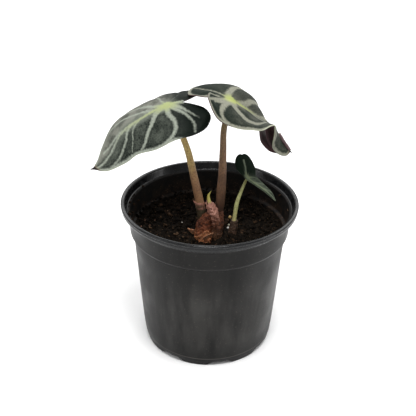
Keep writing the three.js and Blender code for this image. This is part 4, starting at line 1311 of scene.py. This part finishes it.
def inside_finish():
    """The wall inside: blacker and duller, with brown peat dust that is thickest just above the soil."""
    paint = Finish("black pot plastic, inside", roughness=0.6, Specular_IOR_Level=0.12)
    film = paint.height().ramp(0.0865, 0.0985, 1.0, 0.2) * paint.blotches(5.0, 5.0)
    colour = paint.mix(film * 0.5, (0.0040, 0.0038, 0.0036), (0.030, 0.018, 0.011))
    grit = paint.speckles(1.0, 0.2)
    colour = paint.mix(grit * film, colour, (0.09, 0.055, 0.035))
    return paint.done(colour, normal=paint.bump(grit, 0.4, 0.15))


LEDGE_Z = 101.4


def mark_parts(pot_mesh):
    """The second material goes on faces that look towards the axis below the ledge, the third on the lip."""
    for face in pot_mesh.faces:
        middle = face.calc_center_median()
        radius = math.hypot(middle.x, middle.y)
        inward = face.normal.x * middle.x + face.normal.y * middle.y < -0.3 * radius
        if middle.z < LEDGE_Z and (inward or 84 < middle.z < 90 and radius < 53.3):
            face.material_index = 1
        elif middle.z > 99.6 and radius > 54:
            face.material_index = 2


mark_parts(pot_mesh)
POT_SKINS = [plastic_finish(), inside_finish(), lip_finish()]
pot = to_piece("nursery_pot", pot_mesh, POT_SKINS, "pot_plastic", "pot")
cut_away(pot, drain_cutters())
print("pot", len(pot.data.polygons), "faces")

# %% [markdown]
# ## Soil
# The soil is a fill of dark peat up to about two centimetres below the lip. Its top is lumpy at several
# sizes, higher at the left wall, and it is strewn with crumbs and bark chips. The fill itself is a rolled
# sheet: up from the pot's floor, along the wall and in over the top to the middle.

# %% Height of the soil
SOIL_Z = 84
SOIL_RISE = 3.5
SOIL_SIDE = [(0, 0, 6.3), (0.10, 44.4, 6.3), (0.16, 45.4, 14), (0.30, 50.3, 82)]  # reach, radius, height
GRANULE_SPOTS = [(14.5, 13.1), (13.7, 5.1), (13.0, 0.7)]


def soil_height(x, y):
    left = smooth_step(-x + 0.2 * y, 18, 50)
    lumps = 0.7 * np.sin(0.23 * x + 1.1) * np.cos(0.19 * y - 0.4) + 0.45 * np.sin(0.47 * x - 0.31 * y)
    return SOIL_Z + SOIL_RISE * left + lumps


def fine_soil_height(x, y):
    """The soil with its smaller lumps, which fade out towards the wall and round the granules."""
    flat = np.column_stack([x, y, np.zeros_like(x)])
    rough = 0.9 * rumple(flat, 6.0, 41, 4) + 0.55 * np.abs(rumple(flat, 1.9, 42, 3))
    for gx, gy in GRANULE_SPOTS:
        rough = rough * smooth_step(np.hypot(x - gx, y - gy), 1.5, 4)
    return soil_height(x, y) + rough * smooth_step(np.hypot(x, y), 51, 46)


def fill_rule(turn, reach):
    """Up the side by the table, then in over the top to the middle."""
    shares, radii, levels = zip(*SOIL_SIDE)
    top = reach > shares[-1]
    inwards = radii[-1] * (1 - (reach - shares[-1]) / (1 - shares[-1]))
    radius = np.where(top, inwards, np.interp(reach, shares, radii))
    x = radius * np.sin(turn)
    y = -radius * np.cos(turn)
    level = np.where(top, fine_soil_height(x, y), np.interp(reach, shares, levels))
    return np.stack([x, y, level], -1)


print("soil at the middle", soil_height(0.0, 0.0).round(2))


# %% Soil finish
def soil_finish(name, dark, mid, fleck, share):
    paint = Finish(name, roughness=0.9, Specular_IOR_Level=0.03)
    colour = paint.mix(paint.blotches(3.0, 6.0), dark, mid)
    colour = paint.mix(paint.speckles(0.9, share) * 0.8, colour, fleck)
    grain = noise_value(paint.place, 1300.0, 5.0)
    return paint.done(colour, grain.ramp(0.3, 0.7, 0.75, 1.0), paint.bump(grain, 1.0, 0.6))


PEAT = soil_finish(
    "dark peat", (0.0020, 0.0016, 0.0012), (0.0085, 0.0062, 0.0043), (0.080, 0.048, 0.026), 0.14
)
BARK = soil_finish("bark chips", (0.011, 0.0065, 0.004), (0.040, 0.023, 0.013), (0.17, 0.11, 0.07), 0.22)
PINK_CRUMB = soil_finish(
    "pinkish brown crumbs", (0.070, 0.038, 0.026), (0.15, 0.085, 0.06), (0.25, 0.15, 0.11), 0.2
)
PALE_CRUMB = soil_finish("pale crumb", (0.36, 0.34, 0.30), (0.55, 0.53, 0.48), (0.28, 0.25, 0.21), 0.2)
SOIL_AROUND = 300
SOIL_ALONG = 170
to_piece("soil_bed", rolled(fill_rule, SOIL_AROUND, SOIL_ALONG, caps=False), [PEAT], "soil", "soil")

# %% [markdown]
# Crumbs and chips are scattered by a seeded draw, so they lie in the same places on every run. A crumb is
# a squashed icosphere, a chip is a bevelled slab at its own tilt. Each kind is one fused piece.

# %% Scatter crumbs and chips
draw = np.random.default_rng(7)
LITTER_REACH = 48.5
BATCH = 40  # crumbs in one small mesh, which is quicker than adding each to the full one
PLANTED = [  # ellipses (x, y, rx, ry) that stay free of litter
    (-3.4, -8.4, 8.2, 11), (5.5, -6, 7, 11), (15.7, -5.4, 5.2, 5.2),
    *[(x, y, 2.4, 2.4) for x, y in GRANULE_SPOTS],
]


def drawn_between(low, high):
    return float(draw.uniform(low, high))


def clear_of_plant(x, y, room):
    shares = [((x - px) / (rx + room)) ** 2 + ((y - py) / (ry + room)) ** 2 for px, py, rx, ry in PLANTED]
    return min(shares) > 1


def scatter_spots(count, room):
    """Places on the soil, evenly spread over the bed and clear of the stem bases."""
    spots = []
    while len(spots) < count:
        radius = LITTER_REACH * math.sqrt(draw.random())
        turn = 2 * math.pi * draw.random()
        x = radius * math.cos(turn)
        y = radius * math.sin(turn)
        if clear_of_plant(x, y, room):
            spots.append((x, y))
    return np.array(spots)


def tumble(mesh, verts, spot, stretch, lean):
    """Squashes, turns and moves one crumb or chip; lean is the most that it tilts, in radians."""
    bmesh.ops.scale(mesh, verts=verts, vec=stretch)
    for axis, most in (("X", lean), ("Y", lean), ("Z", math.pi)):
        turned = Matrix.Rotation(drawn_between(-most, most), 3, axis)
        bmesh.ops.rotate(mesh, verts=verts, cent=(0, 0, 0), matrix=turned)
    bmesh.ops.translate(mesh, verts=verts, vec=spot)


def add_crumb(mesh, spot, size):
    verts = bmesh.ops.create_icosphere(mesh, subdivisions=1, radius=size)["verts"]
    for v in verts:
        v.co *= drawn_between(0.7, 1.25)
    tumble(mesh, verts, spot, (1, drawn_between(0.6, 1), drawn_between(0.5, 0.85)), 0.9)


def add_chip(mesh, spot, size):
    """A bevelled slab, longer than wide and wider than thick."""
    made = bmesh.ops.create_cube(mesh, size=1.0)
    edges = list({e for v in made["verts"] for e in v.link_edges})
    cut = bmesh.ops.bevel(mesh, geom=edges, offset=0.12, segments=1, profile=0.5, affect="EDGES", material=-1)
    verts = list({v for f in cut["faces"] for v in f.verts})
    for v in verts:
        v.co *= drawn_between(0.85, 1.15)
    stretch = (size, size * drawn_between(0.35, 0.75), size * drawn_between(0.18, 0.35))
    tumble(mesh, verts, spot, stretch, 0.54)


def soil_litter(name, count, smallest, largest, add, finish, sunk, room):
    """One piece of many crumbs or chips; sunk is a share of the size and room is kept round the plant."""
    litter = bmesh.new()
    spots = scatter_spots(count, room)
    levels = fine_soil_height(spots[:, 0], spots[:, 1])
    sizes = smallest + (largest - smallest) * draw.random(count) ** 2.5
    for first in range(0, count, BATCH):
        batch = bmesh.new()
        for k in range(first, min(first + BATCH, count)):
            add(batch, (spots[k][0], spots[k][1], levels[k] + sizes[k] * sunk), sizes[k])
        join_meshes(litter, batch)
    to_piece(name, litter, [finish], "soil")


soil_litter("peat_crumbs", 1500, 0.45, 1.9, add_crumb, PEAT, 0.15, 0.5)
soil_litter("bark_chips", 90, 1.4, 5.0, add_chip, BARK, 0.08, 1.5)

# %% [markdown]
# A few crumbs lie on the small ledge inside the lip at the left, where the pot was filled, and chips cling
# to the wall. Peat crumbs line the wall just above the soil. Some pinkish brown crumbs and one pale one lie
# on the soil at the left.

# %% Crumbs on the ledge
LEDGE_RADIUS = 54.6
WALL_RADIUS = 53.9
WALL_CHIPS = [(2, 98, 1.2), (22.6, 99.7, 1.3), (170, 97, 1.4), (160, 95, 1.2), (176, 93.5, 1.5)]
WALL_CRUMBS = 150
WALL_FOOT = (49.5, 83.4)  # radius and height where the peat crumbs along the wall begin
ODD_CRUMBS = [(-41.0, -1.5, 1.1), (-44.5, 3.0, 0.9), (-38.0, 6.0, 0.8), (-46.5, -6.0, 0.9)]
PALE_CRUMBS = [(-19.0, 5.0, 0.7)]


def on_circle(radius, turn, level):
    return (radius * math.cos(turn), radius * math.sin(turn), level)


def crumbs_at(rows):
    """Crumbs on the soil at places (x, y) with a size each."""
    mesh = bmesh.new()
    for x, y, size in rows:
        add_crumb(mesh, (x, y, float(fine_soil_height(np.array([x]), np.array([y]))[0]) + 0.5), size)
    return mesh


def ledge_litter():
    mesh = bmesh.new()
    for bearing in (152, 158, 163, 166, 171, 177, 182, 188, 195, 201, 209):
        turn = math.radians(bearing + drawn_between(-2, 2))
        size = drawn_between(0.5, 1.3)
        add_crumb(mesh, on_circle(LEDGE_RADIUS, turn, LEDGE_Z + 0.3 * size), size)
    for bearing, level, size in WALL_CHIPS:
        add_chip(mesh, on_circle(WALL_RADIUS - 0.35 * size, math.radians(bearing), level), size * 1.6)
    return mesh


def wall_peat():
    """Crumbs along most of the wall; the nearer to it, the higher they stand."""
    mesh = bmesh.new()
    for _ in range(WALL_CRUMBS):
        turn = math.radians(drawn_between(40, 300))
        radius = drawn_between(WALL_FOOT[0], 52.3)
        size = drawn_between(0.5, 1.4)
        add_crumb(mesh, on_circle(radius, turn, WALL_FOOT[1] + 1.35 * (radius - WALL_FOOT[0])), size)
    return mesh


litter = ledge_litter()
peat = set_material(wall_peat(), 3)
odd = set_material(crumbs_at(ODD_CRUMBS), 1)
pale = set_material(crumbs_at(PALE_CRUMBS), 2)
to_piece("ledge_crumbs", join_meshes(litter, odd, pale, peat), [BARK, PINK_CRUMB, PALE_CRUMB, PEAT], "soil")

# %% [markdown]
# Three loose granules lie by the young stalk, one yellowish and two white. They are small pitted balls.

# %% Granules
GRANULES = [
    ("granule_yellow", 1.1, (0.68, 0.46, 0.16), (0.50, 0.30, 0.09)),
    ("granule_white_1", 0.75, (0.62, 0.60, 0.46), (0.45, 0.42, 0.30)),
    ("granule_white_2", 0.8, (0.80, 0.78, 0.72), (0.60, 0.56, 0.50)),
]


def granule_finish(name, pale, deep):
    paint = Finish(name, roughness=0.6)
    pits = paint.bump(paint.speckles(0.35, 0.35), -0.6, 0.1)
    return paint.done(paint.mix(paint.blotches(0.7), pale, deep), normal=pits)


def granule_ball(radius, x, y):
    ball = bmesh.new()
    bmesh.ops.create_icosphere(ball, subdivisions=4, radius=radius)
    spots = read_points(ball)
    spots *= (1 + 0.04 * rumple(spots, 0.8, radius * 7))[:, None]
    write_points(ball, spots + np.array([x, y, float(soil_height(x, y)) + 0.9 * radius]))
    return ball


for (name, radius, pale, deep), (x, y) in zip(GRANULES, GRANULE_SPOTS):
    finish = granule_finish(name.replace("_", " "), pale, deep)
    kind = "granule_white" if "white" in name else name
    to_piece(name + "_ball", granule_ball(radius, x, y), [finish], kind, name)
